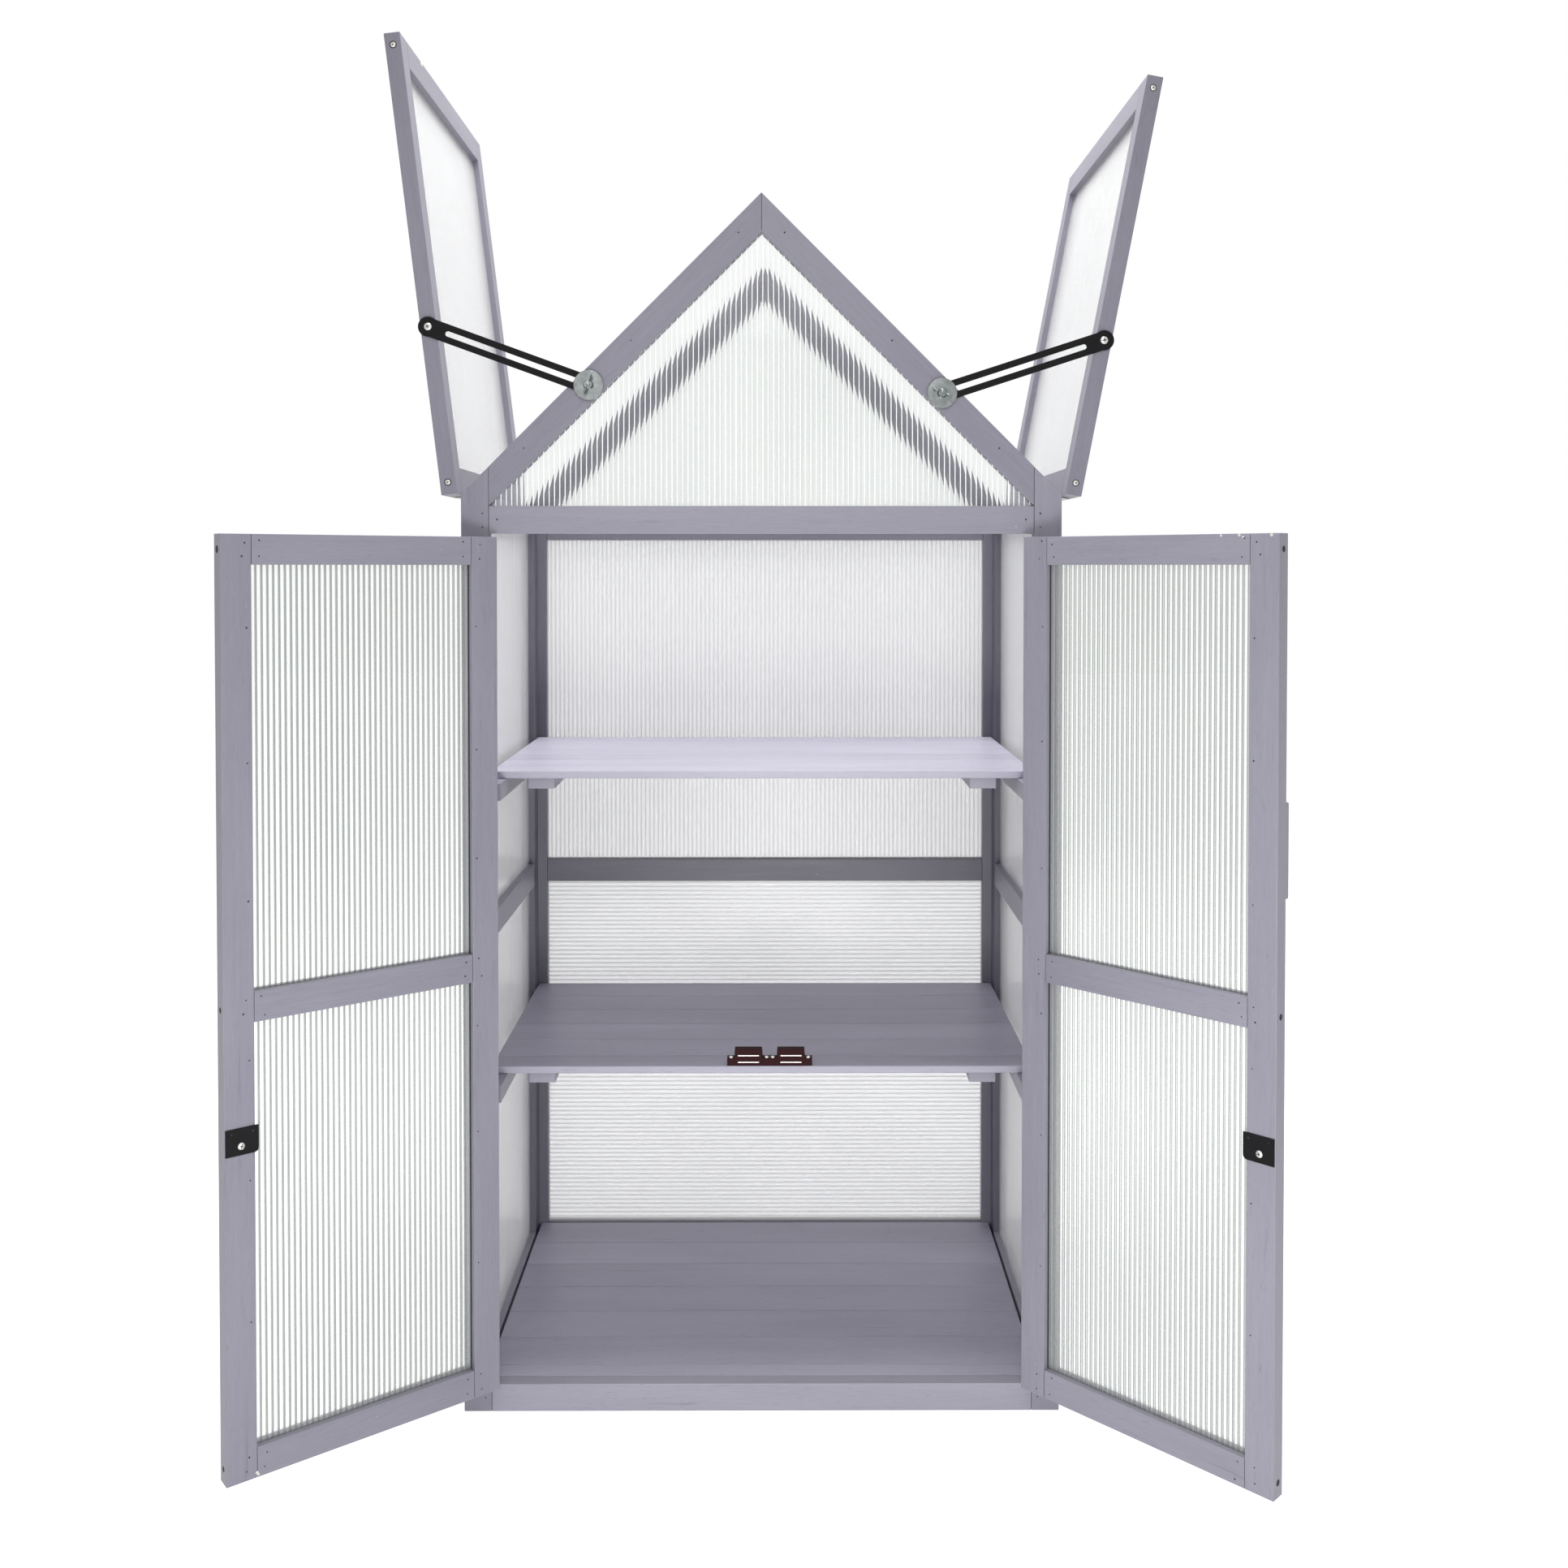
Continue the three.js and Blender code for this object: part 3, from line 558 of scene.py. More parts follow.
def screws(name, body, places, radius, place=None, finish="pole_steel", rise=0.5):
    """Cross-head screws: a domed head with a dark cross set in it."""
    bm = bmesh.new()
    high = radius * rise
    profile = [
        (0, high), (radius * 0.55, high * 0.93), (radius * 0.86, high * 0.6),
        (radius, high * 0.12), (radius, -high * 0.3), (0, -high * 0.3),
    ]
    reach, half = radius * 0.55, radius * 0.11
    for point, normal in places:
        spot = facing(point, normal)
        turned_in(bm, profile, spot, 20)
        turn = Matrix.Rotation(draw.uniform(0, math.pi), 4, "Z")
        for way in (0, math.pi / 2):
            made = box_in(bm, (-reach, -half, high * 0.7), (reach, half, high * 1.03))
            bmesh.ops.transform(bm, matrix=spot @ turn @ Matrix.Rotation(way, 4, "Z"), verts=made)
            for face in {face for vert in made for face in vert.link_faces}:
                face.material_index = 1
    add_piece(name, bm, body, finish, place, smooth=True, more=("hole",))


def dots(name, body, places, radius, place=None, rise=0.00012, finish="hole"):
    """Brad heads, screw holes and chips: low discs, no two quite the same."""
    bm = bmesh.new()
    for point, normal in places:
        reach = radius * draw.uniform(0.8, 1.15)
        turned_in(bm, [(0, rise), (reach * 0.8, rise), (reach, 0), (0, 0)], facing(point, normal), 12)
    add_piece(name, bm, body, finish, place)


# Frames


def roof_height(x):
    return RIDGE - abs(x)


def front_and_rear_frames():
    for word, side in SIDES.items():
        inner, outer = side * POST_INNER, side * HALF_WIDTH
        outline = [(inner, 0), (outer, 0), (outer, roof_height(outer)), (inner, roof_height(inner))]
        board(f"front_post_{word}_eased", "frame", outline, (FRONT, FRONT_INNER), Z, (f"front_post_{word}",))
        # The rear posts and rear rafters get the darker rear paint, which is painted shade.
        eased(f"rear_post_{word}", Z, "shaded_rear_paint")
        slope = Vector((-side, 0, 1))
        eased(f"front_rafter_{word}", slope, tone_and_painted_light=RAFTER_TONES[word])
        eased(f"rear_rafter_{word}", slope, "shaded_rear_paint")
    # The sill's tone above 1 makes it paler than the paint: painted light.
    for node, tone_and_painted_light in FRONT_RAIL_TONES_AND_LIGHT.items():
        eased(node, X, tone_and_painted_light=tone_and_painted_light)
    # The rear rails get the darker rear paint, and the mid rail a drop in tone: painted shade.
    for node, drop in REAR_RAIL_SHADE_DROPS.items():
        eased(node, X, "shaded_rear_paint", tone_and_painted_light=draw.uniform(0, 1) - drop)


def side_frames():
    low_y, high_y = FRONT_INNER + JOINT, REAR_INNER - JOINT
    top = roof_height(HALF_WIDTH)
    stile = TIMBER_WIDTH
    for word, side in SIDES.items():
        x = (side * SIDE_INNER, side * HALF_WIDTH)
        parts = {
            "front_stile": ((x[0], low_y, 0), (x[1], low_y + stile, top)),
            "rear_stile": ((x[0], high_y - stile, 0), (x[1], high_y, top)),
        }
        for rail, z in {"bottom_rail": 0, "mid_rail": MID_RAIL_LOW, "top_rail": top - stile}.items():
            parts[rail] = ((x[0], low_y + stile + JOINT, z), (x[1], high_y - stile - JOINT, z + stile))
        for cleat, board_top in {"floor": SILL_TOP, **SHELF_TOPS}.items():
            z = board_top - BOARD_THICK - JOINT
            inner = side * (SIDE_INNER - CLEAT_WIDTH)
            low = (inner, low_y + CLEAT_END, z - CLEAT_HEIGHT)
            parts[cleat + "_cleat"] = (low, (x[0], high_y - CLEAT_END, z))
        for part, (low, high) in parts.items():
            stands_for = (f"{word}_side_frame",) if part == "front_stile" else ()
            # The rear stiles get the darker rear paint and a drop in tone: painted shade.
            finish = "shaded_rear_paint" if part == "rear_stile" else "timber"
            tone_and_painted_light = draw.uniform(0, 1) - REAR_STILE_SHADE_DROP if part == "rear_stile" else None
            bar(f"{word}_side_{part}", "frame", low, high, None, stands_for, tone_and_painted_light=tone_and_painted_light, finish=finish)


def planks(name, body, y, top, half, stands_for):
    """Boards across the greenhouse, from the back edge forwards."""
    high = y[1]
    count = 0
    while high > y[0] + PLANK_WIDTH / 4:
        low = high - PLANK_WIDTH if high - PLANK_WIDTH > y[0] + PLANK_WIDTH / 4 else y[0]
        count += 1
        first = stands_for if count == 1 else ()
        corner_low, corner_high = (-half, low + JOINT, top - BOARD_THICK), (half, high - JOINT, top)
        # Tones above 1 go past the pale paint: painted light on the floor and shelves, with a random tone
        # from plank to plank.
        tone_and_painted_light = draw.uniform(0.55, 1.2)
        plank = f"{name}_plank_{count}"
        bar(plank, body, corner_low, corner_high, None, first, 0.0012, tone_and_painted_light, "plank_paint_with_painted_light")
        high = low


def floor_and_shelves():
    depth = (FRONT_INNER + JOINT, REAR_INNER - JOINT)
    planks("floor", "frame", depth, SILL_TOP, SIDE_INNER - 0.004, ("floor_deck",))
    for word, top in SHELF_TOPS.items():
        y = (SHELF_FRONT, SHELF_FRONT + SHELF_DEPTH)
        body = f"{word}_shelf"
        planks(body, body, y, top, SIDE_INNER - 0.002, (body,))
        under = top - BOARD_THICK
        for end, side in SIDES.items():
            x = [side * BATTEN_CENTRE - BATTEN_WIDTH / 2, side * BATTEN_CENTRE + BATTEN_WIDTH / 2]
            low = (x[0], y[0] + BATTEN_INSET, under - BATTEN_THICK)
            high = (x[1], y[1] - BATTEN_INSET, under - 0.0001)
            bar(f"{body}_{end}_batten", body, low, high)


def doors():
    for word in SIDES:
        rails = door_place(word).to_3x3() @ X
        tone_and_painted_light = DOOR_TONES[word]
        for part in ("hinge_stile", "free_stile"):
            eased(f"{word}_door_{part}", Z, tone_and_painted_light=tone_and_painted_light + draw.uniform(-0.1, 0.1))
        for part in ("top_rail", "mid_rail", "bottom_rail"):
            eased(f"{word}_door_{part}", rails, tone_and_painted_light=tone_and_painted_light + draw.uniform(-0.1, 0.3))
    eased("right_door_handle", Z, width=0.0012)


def lids():
    for word, side in SIDES.items():
        place = lid_place(word)
        reach = LID_REACHES[word]
        x = (side * LID_GAP, side * (LID_GAP + TIMBER_THICK))
        front, rear = FRONT, FRONT + LID_DEPTH
        wide = TIMBER_WIDTH
        parts = {
            "front_stile": ((x[0], front, LID_LOW), (x[1], front + wide, reach)),
            "rear_stile": ((x[0], rear - wide, LID_LOW), (x[1], rear, reach)),
            "eave_rail": ((x[0], front + wide + JOINT, LID_LOW), (x[1], rear - wide - JOINT, LID_LOW + wide)),
            "ridge_rail": ((x[0], front + wide + JOINT, reach - wide), (x[1], rear - wide - JOINT, reach)),
        }
        for part, (low, high) in parts.items():
            stands_for = (f"{word}_lid_frame",) if part == "front_stile" else ()
            # The lids' low tone is painted shade.
            bar(f"{word}_lid_{part}", f"{word}_lid", low, high, place, stands_for, tone_and_painted_light=LID_SHADE_TONE)


# Fluted panels


def fluted_panel(name, body, wide, tall, deep, place=None, stands_for=(), slopes=(), finish="milky"):
    """A sheet with flutes that run along tall. Wide, tall and deep are each (axis, low, high)."""
    (axis_w, low_w, high_w), (axis_t, low_t, high_t), (axis_d, low_d, high_d) = wide, tall, deep
    steps = 8 if finish == "gable" else 4
    count = max(1, round((high_w - low_w) / FLUTE_PITCH)) * steps
    bm = bmesh.new()
    grid = bmesh.ops.create_grid(bm, x_segments=count, y_segments=1, size=0.5)["verts"]
    for vert in grid:
        across = low_w + (vert.co.x + 0.5) * (high_w - low_w)
        along = low_t + (vert.co.y + 0.5) * (high_t - low_t)
        vert.co = axis_w * across + axis_t * along + axis_d * low_d
    for point, outward in slopes:
        parts = bm.verts[:] + bm.edges[:] + bm.faces[:]
        bmesh.ops.bisect_plane(bm, geom=parts, plane_co=point, plane_no=outward, clear_outer=True)
    grown = bmesh.ops.extrude_face_region(bm, geom=bm.faces[:], use_keep_orig=True)["geom"]
    back = [part for part in grown if isinstance(part, bmesh.types.BMVert)]
    bmesh.ops.translate(bm, vec=axis_d * (high_d - low_d), verts=back)
    flute = bm.verts.layers.float_vector.new("flute")
    middle = (low_d + high_d) / 2
    for vert in bm.verts:
        across = (vert.co.dot(axis_w) - low_w) / FLUTE_PITCH
        if finish == "gable":
            sink = LENS_DEPTH * (1 - (2 * (across % 1) - 1) ** 2)
        else:
            sink = RIPPLE_DEPTH * (1 - math.cos(2 * math.pi * across)) / 2
        vert[flute] = Vector((across, vert.co.dot(axis_t), draw.uniform(0, 0.0001)))
        vert.co += axis_d * (-sink if vert.co.dot(axis_d) > middle else sink)
    bmesh.ops.recalc_face_normals(bm, faces=bm.faces)
    add_piece(name, bm, body, finish, place, stands_for)


def layer(face):
    """The middle of a timber, where a sheet lies, from the timber's front face."""
    middle = face + TIMBER_THICK / 2
    return middle - PANEL_THICK / 2, middle + PANEL_THICK / 2


def gable_sheets():
    """The clear sheets in the two gables, and the webs between their walls."""
    drop = (TIMBER_WIDTH - GROOVE_LAP) * math.sqrt(2)
    apex = Vector((0, 0, RIDGE - drop))
    slopes = [(apex, Vector((side, 0, 1)).normalized()) for side in (-1, 1)]
    across = POST_INNER - 2 * JOINT
    for end, face in (("front", FRONT), ("rear", REAR_INNER)):
        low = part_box(f"{end}_gable_panel")[0].z
        fluted_panel(
            f"{end}_gable_sheet", "frame", (X, -across, across), (Z, low, RIDGE), (Y, *layer(face)),
            None, (f"{end}_gable_panel",), slopes, "gable",
        )
        bm = bmesh.new()
        back, ahead = layer(face)
        for number in range(1, math.ceil(2 * across / FLUTE_PITCH)):
            x = number * FLUTE_PITCH - across
            top = apex.z - abs(x) - 2 * JOINT
            box_in(bm, (x - WEB_HALF, back + 0.0005, low), (x + WEB_HALF, ahead - 0.0005, top))
        add_piece(f"{end}_gable_webs", bm, "frame", "webs")


def wall_sheets():
    """The sheets in the rear and in the sides. The lower rear one has level flutes."""
    inset, side_inset = 0.0002, 0.006
    for row in ("upper", "lower"):
        low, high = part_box(f"rear_{row}_panel")
        wide, tall = (X, low.x + inset, high.x - inset), (Z, low.z + inset, high.z - inset)
        if row == "lower":
            wide, tall = tall, wide
        deep = (Y, low.y, high.y)
        fluted_panel(f"rear_{row}_sheet", "frame", wide, tall, deep, None, (f"rear_{row}_panel",))
        for word in SIDES:
            low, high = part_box(f"{word}_side_{row}_panel")
            fluted_panel(
                f"{word}_side_{row}_sheet", "frame", (Y, low.y + side_inset, high.y - side_inset),
                (Z, low.z + side_inset, high.z - side_inset), (X, low.x, high.x),
                None, (f"{word}_side_{row}_panel",),
            )


def door_and_lid_sheets():
    lap = GROOVE_LAP
    for word, side in SIDES.items():
        place = door_place(word)
        u = sorted((-side * (DOOR_NEAR + TIMBER_WIDTH - lap), -side * (DOOR_FAR - TIMBER_WIDTH + lap)))
        rows = {
            "upper": (DOOR_MID_RAIL + TIMBER_WIDTH - lap, DOOR_HIGH - TIMBER_WIDTH + lap),
            "lower": (DOOR_LOW + TIMBER_WIDTH - lap, DOOR_MID_RAIL + lap),
        }
        for row, z in rows.items():
            fluted_panel(
                f"{word}_door_{row}_sheet", f"{word}_door", (X, *u), (Z, *z), (Y, *layer(DOOR_FACE)),
                place, (f"{word}_door_{row}_panel",), (), "panel",
            )
        middle = side * (LID_GAP + TIMBER_THICK / 2)
        wide, reach = TIMBER_WIDTH - 0.002, LID_REACHES[word]
        fluted_panel(
            f"{word}_lid_sheet", f"{word}_lid", (Y, FRONT + wide, FRONT + LID_DEPTH - wide),
            (Z, LID_LOW + wide, reach - wide), (X, middle - PANEL_THICK / 2, middle + PANEL_THICK / 2),
            lid_place(word), (f"{word}_lid_panel",),
        )


# Steel and plastic pieces


def fixed_leaves():
    """The half of each hinge that stays on the post or on the side frame."""
    end = HINGE_LENGTH * 0.3
    half = HINGE_LENGTH / 2
    for word, side in SIDES.items():
        for number, height in enumerate(DOOR_HINGE_HEIGHTS, 1):
            bm = bmesh.new()
            x = side * POST_INNER, side * (POST_INNER - LEAF_THICK)
            box_in(bm, (x[0], FRONT + 0.0004, height - half), (x[1], FRONT + LEAF_WIDTH, height + half))
            centre = Vector((side * DOOR_AXIS_X, DOOR_AXIS_Y, height))
            for span in ((-half, -half + end), (half - end, half)):
                box_in(bm, (x[0], DOOR_AXIS_Y, height + span[0]), (x[1], FRONT + 0.001, height + span[1]))
                tube_in(bm, centre, Z, span, KNUCKLE_RADIUS, KNUCKLE_BORE)
            add_piece(f"{word}_post_leaf_{number}", bm, "frame", "zinc", smooth=True)
        for number, place_y in enumerate(LID_HINGE_PLACES, 1):
            bm = bmesh.new()
            high = EAVE_Z - KNUCKLE_RADIUS - 0.0004
            x = side * HALF_WIDTH, side * (HALF_WIDTH + LEAF_THICK)
            box_in(bm, (x[0], place_y - half, high - LEAF_WIDTH), (x[1], place_y + half, high))
            centre = Vector((side * EAVE_X, place_y, EAVE_Z))
            for span in ((-half, -half + end), (half - end, half)):
                low_y, high_y = place_y + span[0], place_y + span[1]
                box_in(bm, (x[0], low_y, high - 0.001), (x[1], high_y, EAVE_Z - 0.0005))
                tube_in(bm, centre, Y, span, KNUCKLE_RADIUS, KNUCKLE_BORE)
            add_piece(f"{word}_eave_leaf_{number}", bm, "frame", "zinc", smooth=True)
            spots = [((x[1], place_y + step, high - 0.009), (side, 0, 0)) for step in (-0.02, 0, 0.02)]
            screws(f"{word}_eave_leaf_{number}_screws", "frame", spots, 0.0026, rise=0.35)


def bolt_washer(word, spot):
    bm = bmesh.new()
    turned_in(bm, WASHER_PROFILE, spot, 48)
    stands_for = (f"{word}_stay_bolt",)
    add_piece(f"{word}_bolt_washer", bm, f"{word}_bolt", "zinc", smooth=True, stands_for=stands_for)


def wing_nut(word, spot):
    bm = bmesh.new()
    turned_in(bm, NUT_PROFILE, spot, 24)
    twist = Matrix.Rotation(NUT_TWISTS[word], 4, "Z")
    size = Matrix.Diagonal((*WING_HALVES, 1))
    for way in (-1, 1):
        made = bmesh.ops.create_uvsphere(bm, u_segments=16, v_segments=10, radius=1.0)["verts"]
        lean = Matrix.Rotation(way * WING_LEAN, 4, "Y")
        shift = Matrix.Translation((way * WING_OUT, 0, WING_UP))
        bmesh.ops.transform(bm, matrix=spot @ twist @ shift @ lean @ size, verts=made)
    add_piece(f"{word}_wing_nut", bm, f"{word}_bolt", "zinc", smooth=True)


def bolt_stud(word, spot):
    bm = bmesh.new()
    thread = [(0, THREAD_START)]
    for turn in range(THREAD_TURNS):
        height = THREAD_START + turn * THREAD_PITCH
        thread += [(0.0027, height), (0.0030, height + THREAD_PITCH / 2)]
    thread += [(0.0024, 0.0106), (0, 0.0108)]
    turned_in(bm, thread, spot, 16)
    add_piece(f"{word}_bolt_stud", bm, f"{word}_bolt", "zinc", smooth=True)


def stays_and_bolts():
    for word in SIDES:
        low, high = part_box(f"{word}_stay_bolt")
        centre = Vector(((low.x + high.x) / 2, 0, (low.z + high.z) / 2))
        eased(f"{word}_lid_stay", X, "black_steel", 0.0004)
        spot = facing(centre + Y * (STAY_FACE - STAY_CLEAR), (0, -1, 0))
        bolt_washer(word, spot)
        wing_nut(word, spot)
        bolt_stud(word, spot)


def stay_screw_place(word):
    """Where a stay's screw sits at rest."""
    joint = next(j for j in frame["joints"] if j["name"] == f"{word}_stay_turn")
    x, _, z = joint["pos_m"]
    return Vector((x, STAY_FACE - STAY_CLEAR, z))


def lid_screws():
    for word, side in SIDES.items():
        pivot = stay_screw_place(word)
        bm = bmesh.new()
        spot = facing(Vector((pivot.x, FRONT + 0.001, pivot.z)), (0, -1, 0))
        turned_in(bm, [(0, 0), (0.0025, 0), (0.0025, 0.0046), (0, 0.0046)], spot, 20)
        add_piece(f"{word}_stay_shank", bm, f"{word}_lid", "zinc", smooth=True)
        screws(f"{word}_stay_screw", f"{word}_lid", [(pivot, (0, -1, 0))], 0.005, rise=0.4)
        middle = side * (LID_GAP + TIMBER_THICK / 2)
        reach = LID_REACHES[word]
        back = FRONT + LID_DEPTH
        spots = []
        for u in (LID_LOW + 0.016, reach - 0.016):
            spots += [((middle, FRONT, u), (0, -1, 0)), ((middle, back - 0.0011, u), (0, 1, 0))]
        dots(f"{word}_lid_screw_holes", f"{word}_lid", spots, 0.0046, lid_place(word), 0.0001)
        screws(f"{word}_lid_screws", f"{word}_lid", spots, 0.0034, lid_place(word), rise=0.3)


def strike_screws():
    for word, side in SIDES.items():
        eased(f"{word}_door_strike_plate", X, "black_steel", 0.0003)
        low = SHELF_TOPS["lower"] + JOINT + CATCH_MIDDLE - STRIKE_HALF
        outer = DOOR_FAR - 0.001
        face = DOOR_FACE + TIMBER_THICK + JOINT + STRIKE_THICK
        place = door_place(word)
        middle = -side * (outer - 0.0185)
        spots = [((middle, face, low + 0.0105), (0, 1, 0))]
        screws(f"{word}_strike_screw", f"{word}_door", spots, 0.0042, place, rise=0.4)
        spots = [((-side * (outer - reach), face, low + 0.026), (0, 1, 0)) for reach in (0.007, 0.032)]
        dots(f"{word}_strike_dimples", f"{word}_door", spots, BRAD_RADIUS, place)


def catch_details():
    eased("magnetic_catch", X, "brown_plastic", 0.0006)
    low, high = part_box("magnetic_catch")
    front = low.y
    middle = (low.x + high.x) / 2
    reach, half = 0.0145, 0.0007
    bm = bmesh.new()
    for side in (-1, 1):
        centre = middle + side * 0.029
        for rise in (0.0046, 0.0136):
            z = low.z + rise
            box_in(bm, (centre - reach, front - 0.0006, z - half), (centre + reach, front + 0.002, z + half))
    round_edges(bm, bm.edges[:], 0.0002, 1)
    add_piece("catch_pole_strips", bm, "lower_shelf", "pole_steel")
    steps = (-0.0525, -0.0042, 0.0042, 0.0525)
    spots = [((middle + x, front + 0.0042, low.z + 0.010), (0, 0, 1)) for x in steps]
    screws("catch_screws", "lower_shelf", spots, 0.0032, rise=0.85)


def brads_and_holes():
    """Brads in the doors and the front frame, and dark screw holes in the doors' free edges."""
    face = DOOR_FACE + TIMBER_THICK
    rails = (DOOR_LOW + 0.018, DOOR_MID_RAIL + 0.018, DOOR_HIGH - 0.018)
    for word, side in SIDES.items():
        spots = []
        for height in rails:
            for step in (-0.009, 0.010):
                for u in (DOOR_NEAR + 0.026, DOOR_FAR - 0.026, DOOR_NEAR + 0.046, DOOR_FAR - 0.046):
                    drift = draw.uniform(-0.003, 0.003)
                    spots.append(((-side * (u + drift), face, height + step + drift), (0, 1, 0)))
        for share in (0.16, 0.31, 0.44, 0.62, 0.76, 0.9):
            height = DOOR_LOW + share * (DOOR_HIGH - DOOR_LOW)
            for u in (DOOR_NEAR + 0.030, DOOR_FAR - 0.030):
                spots.append(((-side * u, face, height + draw.uniform(-0.01, 0.01)), (0, 1, 0)))
        dots(f"{word}_door_brads", f"{word}_door", spots, BRAD_RADIUS, door_place(word))
        edge = -side * DOOR_FAR
        holes = [((edge, DOOR_FACE + TIMBER_THICK / 2, height), (-side, 0, 0)) for height in rails]
        dots(f"{word}_door_edge_holes", f"{word}_door", holes, 0.0042, door_place(word), 0.0002)
    spots = []
    for side in (-1, 1):
        for height in (0.018, 0.62, 1.165, 1.183):
            spots.append(((side * (POST_INNER + 0.008), FRONT, height), (0, -1, 0)))
        for x in (0.03, 0.17, 0.31):
            spots.append(((side * x, FRONT, RIDGE - x - 0.022), (0, -1, 0)))
        spots.append(((side * 0.345, FRONT, 1.175), (0, -1, 0)))
    dots("front_brads", "frame", spots, BRAD_RADIUS)


def paint_chips():
    """Bare spots at a few edges."""
    face = DOOR_FACE + TIMBER_THICK
    door_chips = {
        "right": [
            (0.281, DOOR_HIGH - 0.002), (0.304, DOOR_HIGH - 0.0015),
            (0.309, DOOR_HIGH - 0.004), (0.344, DOOR_HIGH - 0.002),
        ],
        "left": [(0.3165, DOOR_LOW + 0.0035), (0.318, DOOR_LOW + 0.006)],
    }
    for word, side in SIDES.items():
        spots = [((-side * u, face, z), (0, 1, 0)) for u, z in door_chips[word]]
        dots(f"{word}_door_chips", f"{word}_door", spots, 0.0017, door_place(word), 0.00008, "bare")
    side = SIDES["left"]
    high = LID_REACHES["left"] - 0.0028
    spots = [((side * LID_GAP, y, high), (-side, 0, 0)) for y in (0.108, 0.111, 0.115)]
    dots("left_lid_chips", "left_lid", spots, 0.0022, lid_place("left"), 0.00008, "bare")


def seams():
    """The dark lines in the joints between timbers, and painted shade beside the sheets along the doors'
    hinge stiles.
    """
    half = 0.0004
    face = FRONT + 0.0002
    bm = bmesh.new()
    apex_low = RIDGE - TIMBER_WIDTH * math.sqrt(2)
    header_low, header_high = 1.1578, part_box("front_header")[1].z
    corner = POST_INNER - 0.001
    box_in(bm, (-half, face, apex_low + 0.002), (half, face + 0.002, RIDGE - 0.0008))
    for side in (-1, 1):
        x = side * (POST_INNER - 0.00015)
        box_in(bm, (x - half, face, header_low), (x + half, face + 0.002, roof_height(x) - 0.001))
        box_in(bm, (x - half, face, 0.001), (x + half, face + 0.002, SILL_TOP - 0.001))
        near, far = side * corner, side * (corner - 0.006)
        box_in(bm, (near, face, header_high - half), (far, face + 0.002, header_high + half))
    add_piece("front_seams", bm, "frame", "hole")
    for word, side in SIDES.items():
        bm = bmesh.new()
        face = DOOR_FACE + TIMBER_THICK - 0.0003
        for u in (DOOR_NEAR + TIMBER_WIDTH + 0.00015, DOOR_FAR - TIMBER_WIDTH - 0.00015):
            x = -side * u
            for low in (DOOR_LOW, DOOR_MID_RAIL, DOOR_HIGH - TIMBER_WIDTH):
                high = low + TIMBER_WIDTH
                box_in(bm, (x - half, face - 0.002, low + 0.001), (x + half, face, high - 0.001))
        # Dark strips in the grooves beside the sheets along the hinge stiles: painted shade.
        groove = layer(DOOR_FACE)[1]
        for low, high in ((DOOR_LOW, DOOR_MID_RAIL), (DOOR_MID_RAIL, DOOR_HIGH - TIMBER_WIDTH)):
            x = (-side * (DOOR_NEAR + TIMBER_WIDTH - 0.0002), -side * (DOOR_NEAR + TIMBER_WIDTH + 0.0012))
            box_in(bm, (x[0], groove - 0.0005, low + TIMBER_WIDTH), (x[1], groove + 0.0004, high))
        add_piece(f"{word}_door_seams", bm, f"{word}_door", "hole", door_place(word))


def seen_rays(make):
    """1 where the camera sees it, also in gloss or through a sheet, and 0 where it only gives light."""
    kinds = ("Is Camera Ray", "Is Glossy Ray", "Is Transmission Ray")
    camera, gloss, through = [make.node("LightPath", output=kind) for kind in kinds]
    return camera.maths("MAXIMUM", camera.maths("MAXIMUM", camera, gloss), through)


def studio_floor():
    """A white floor that takes the shadow, and glows where it is seen."""
    make = Finish("studio_white")
    matt = make.node("BsdfDiffuse", Color=(0.86, 0.86, 0.87, 1), Roughness=0.0)
    glow = make.node("Emission", Color=(1, 1, 1, 1), Strength=0.72)
    both = make.node("AddShader", i0=matt, i1=glow)
    mixed = make.node("MixShader", i0=seen_rays(make), i1=matt, i2=both)
    make.node("OutputMaterial", Surface=mixed)
    bm = bmesh.new()
    bmesh.ops.create_grid(bm, x_segments=1, y_segments=1, size=14)
    mesh = bpy.data.meshes.new("studio_floor")
    bm.to_mesh(mesh)
    bm.free()
    floor = bpy.data.objects.new("studio_floor", mesh)
    floor.location.z = -0.0005
    bpy.context.scene.collection.objects.link(floor)
    mesh.materials.append(make.material)


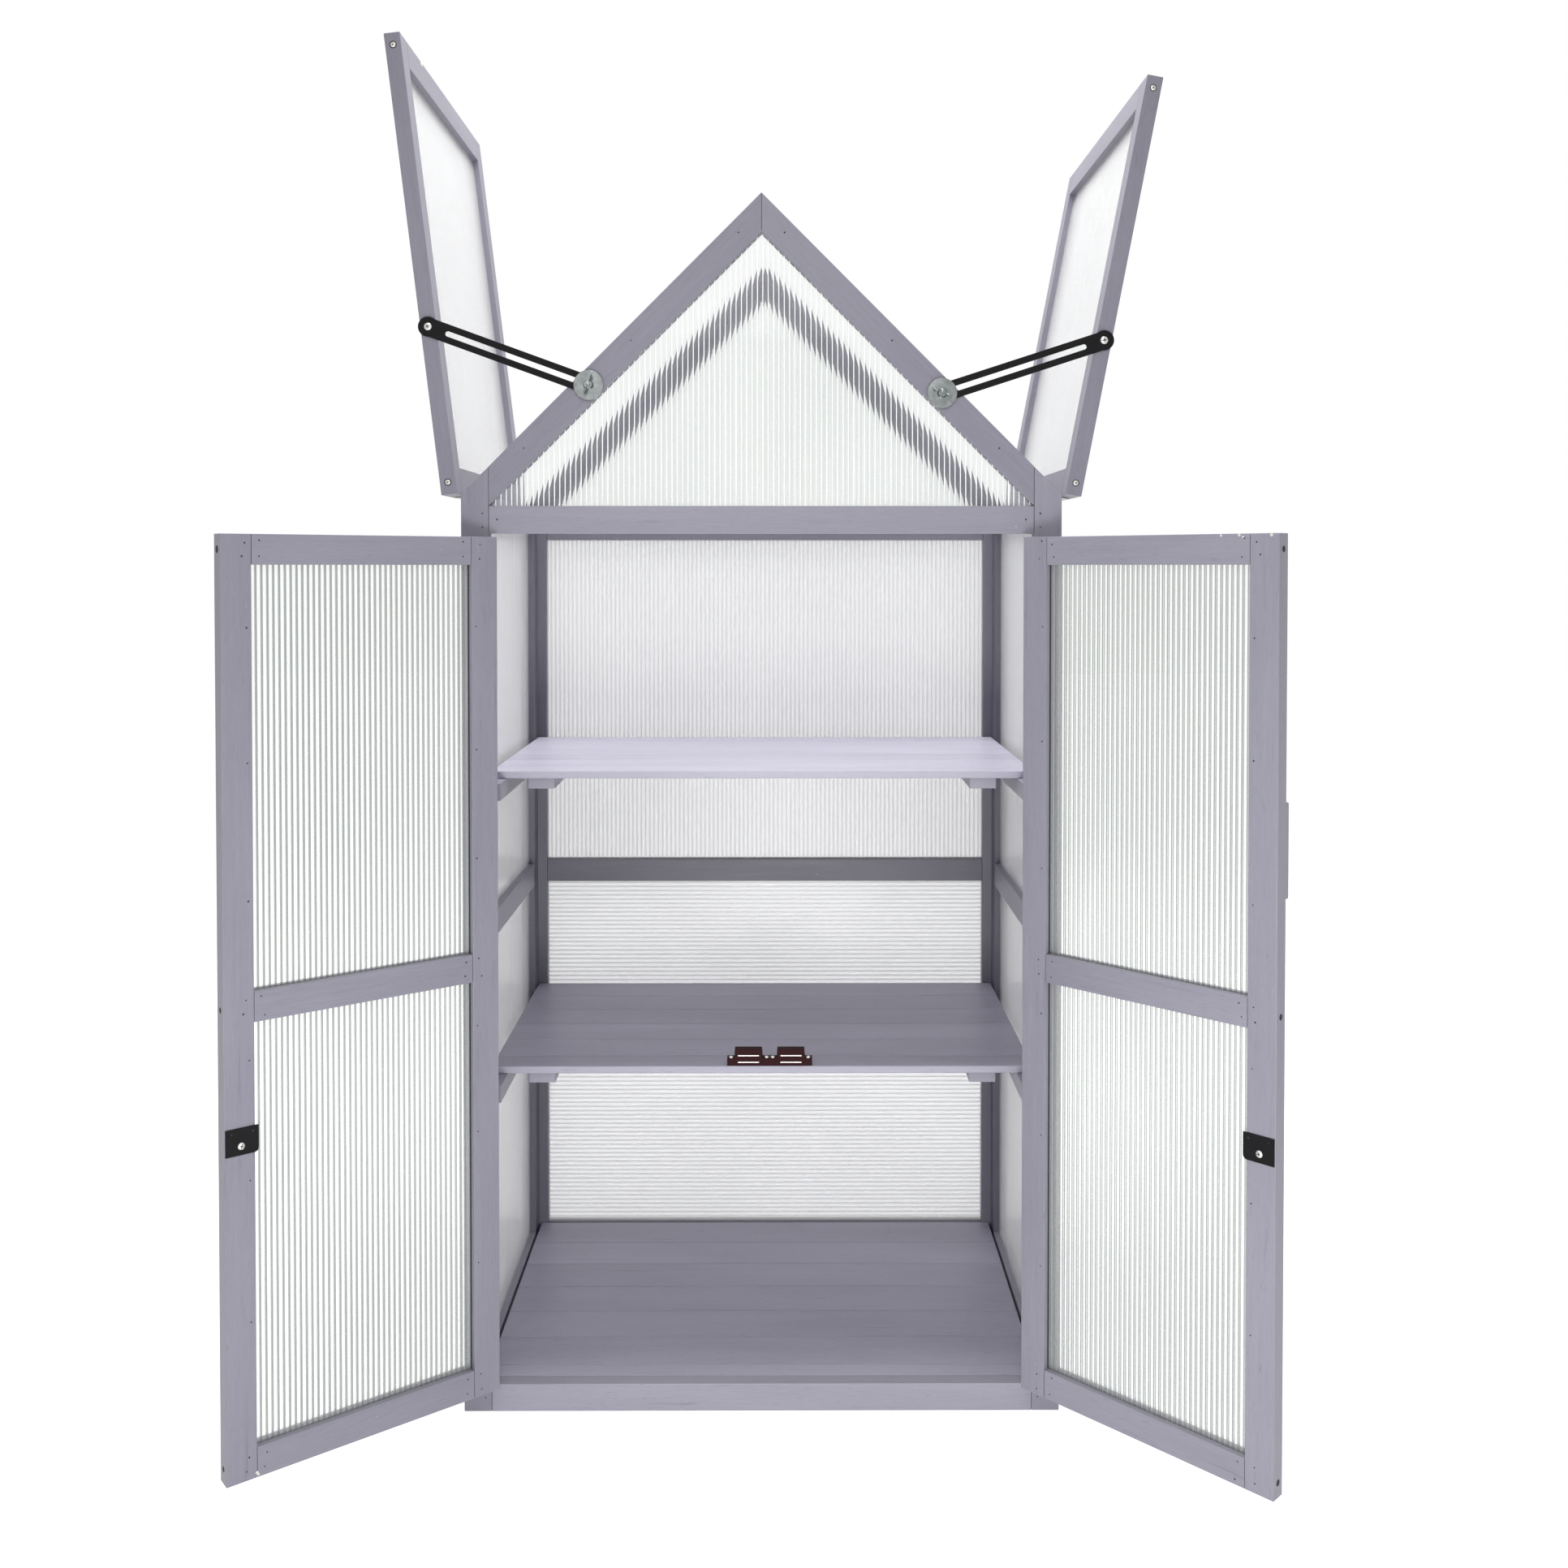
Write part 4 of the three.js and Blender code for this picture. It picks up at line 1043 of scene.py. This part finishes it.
def studio_world():
    """Soft light all round, and plain white wherever the world itself is seen."""
    world = bpy.data.worlds.new("studio")
    bpy.context.scene.world = world
    make = Shading(world)
    soft = make.node("Background", Color=(1, 1, 1, 1), Strength=0.37)
    white = make.node("Background", Color=(1, 1, 1, 1), Strength=1.0)
    mixed = make.node("MixShader", i0=seen_rays(make), i1=soft, i2=white)
    make.node("OutputWorld", Surface=mixed)


def studio_lamps():
    """Square lamps. The rear one lights the object but isn't seen itself."""
    for name, (spot, size, power) in LAMPS.items():
        lamp = bpy.data.lights.new(name, "AREA")
        lamp.energy = power
        lamp.size = size
        holder = bpy.data.objects.new(name, lamp)
        shown = name != "rear_lamp"
        holder.visible_camera = shown
        holder.visible_transmission = shown
        holder.visible_glossy = shown
        holder.location = spot
        aim = LAMP_AIM - Vector(spot)
        holder.rotation_euler = aim.to_track_quat("-Z", "Y").to_euler()
        bpy.context.scene.collection.objects.link(holder)


def photo_camera():
    lens = bpy.data.cameras.new("photo_camera")
    lens.sensor_width = 36
    lens.lens = FOCAL_PIXELS / PHOTO_SIDE * lens.sensor_width
    lens.shift_y = -(PHOTO_SIDE / 2 - CENTRE_ROW) / PHOTO_SIDE
    lens.clip_start, lens.clip_end = 0.05, 60
    camera = bpy.data.objects.new("photo_camera", lens)
    camera.location = EYE
    camera.rotation_euler = (EYE_TILT, 0, EYE_PAN)
    bpy.context.scene.collection.objects.link(camera)
    bpy.context.scene.camera = camera


def finish_solids():
    """Each solid gets its finish, which shows on those that no piece stands for."""
    for part in frame["record"]["subparts"]:
        mesh = nodes[part["node"]].data
        mesh.materials.clear()
        mesh.materials.append(FINISHES[part["material_slot"]])


studio_floor()
studio_world()
studio_lamps()
photo_camera()
finish_solids()
front_and_rear_frames()
side_frames()
floor_and_shelves()
doors()
lids()
gable_sheets()
wall_sheets()
door_and_lid_sheets()
fixed_leaves()
stays_and_bolts()
lid_screws()
strike_screws()
catch_details()
brads_and_holes()
paint_chips()
seams()

scene_view = bpy.context.scene.view_settings
scene_view.view_transform = "Standard"
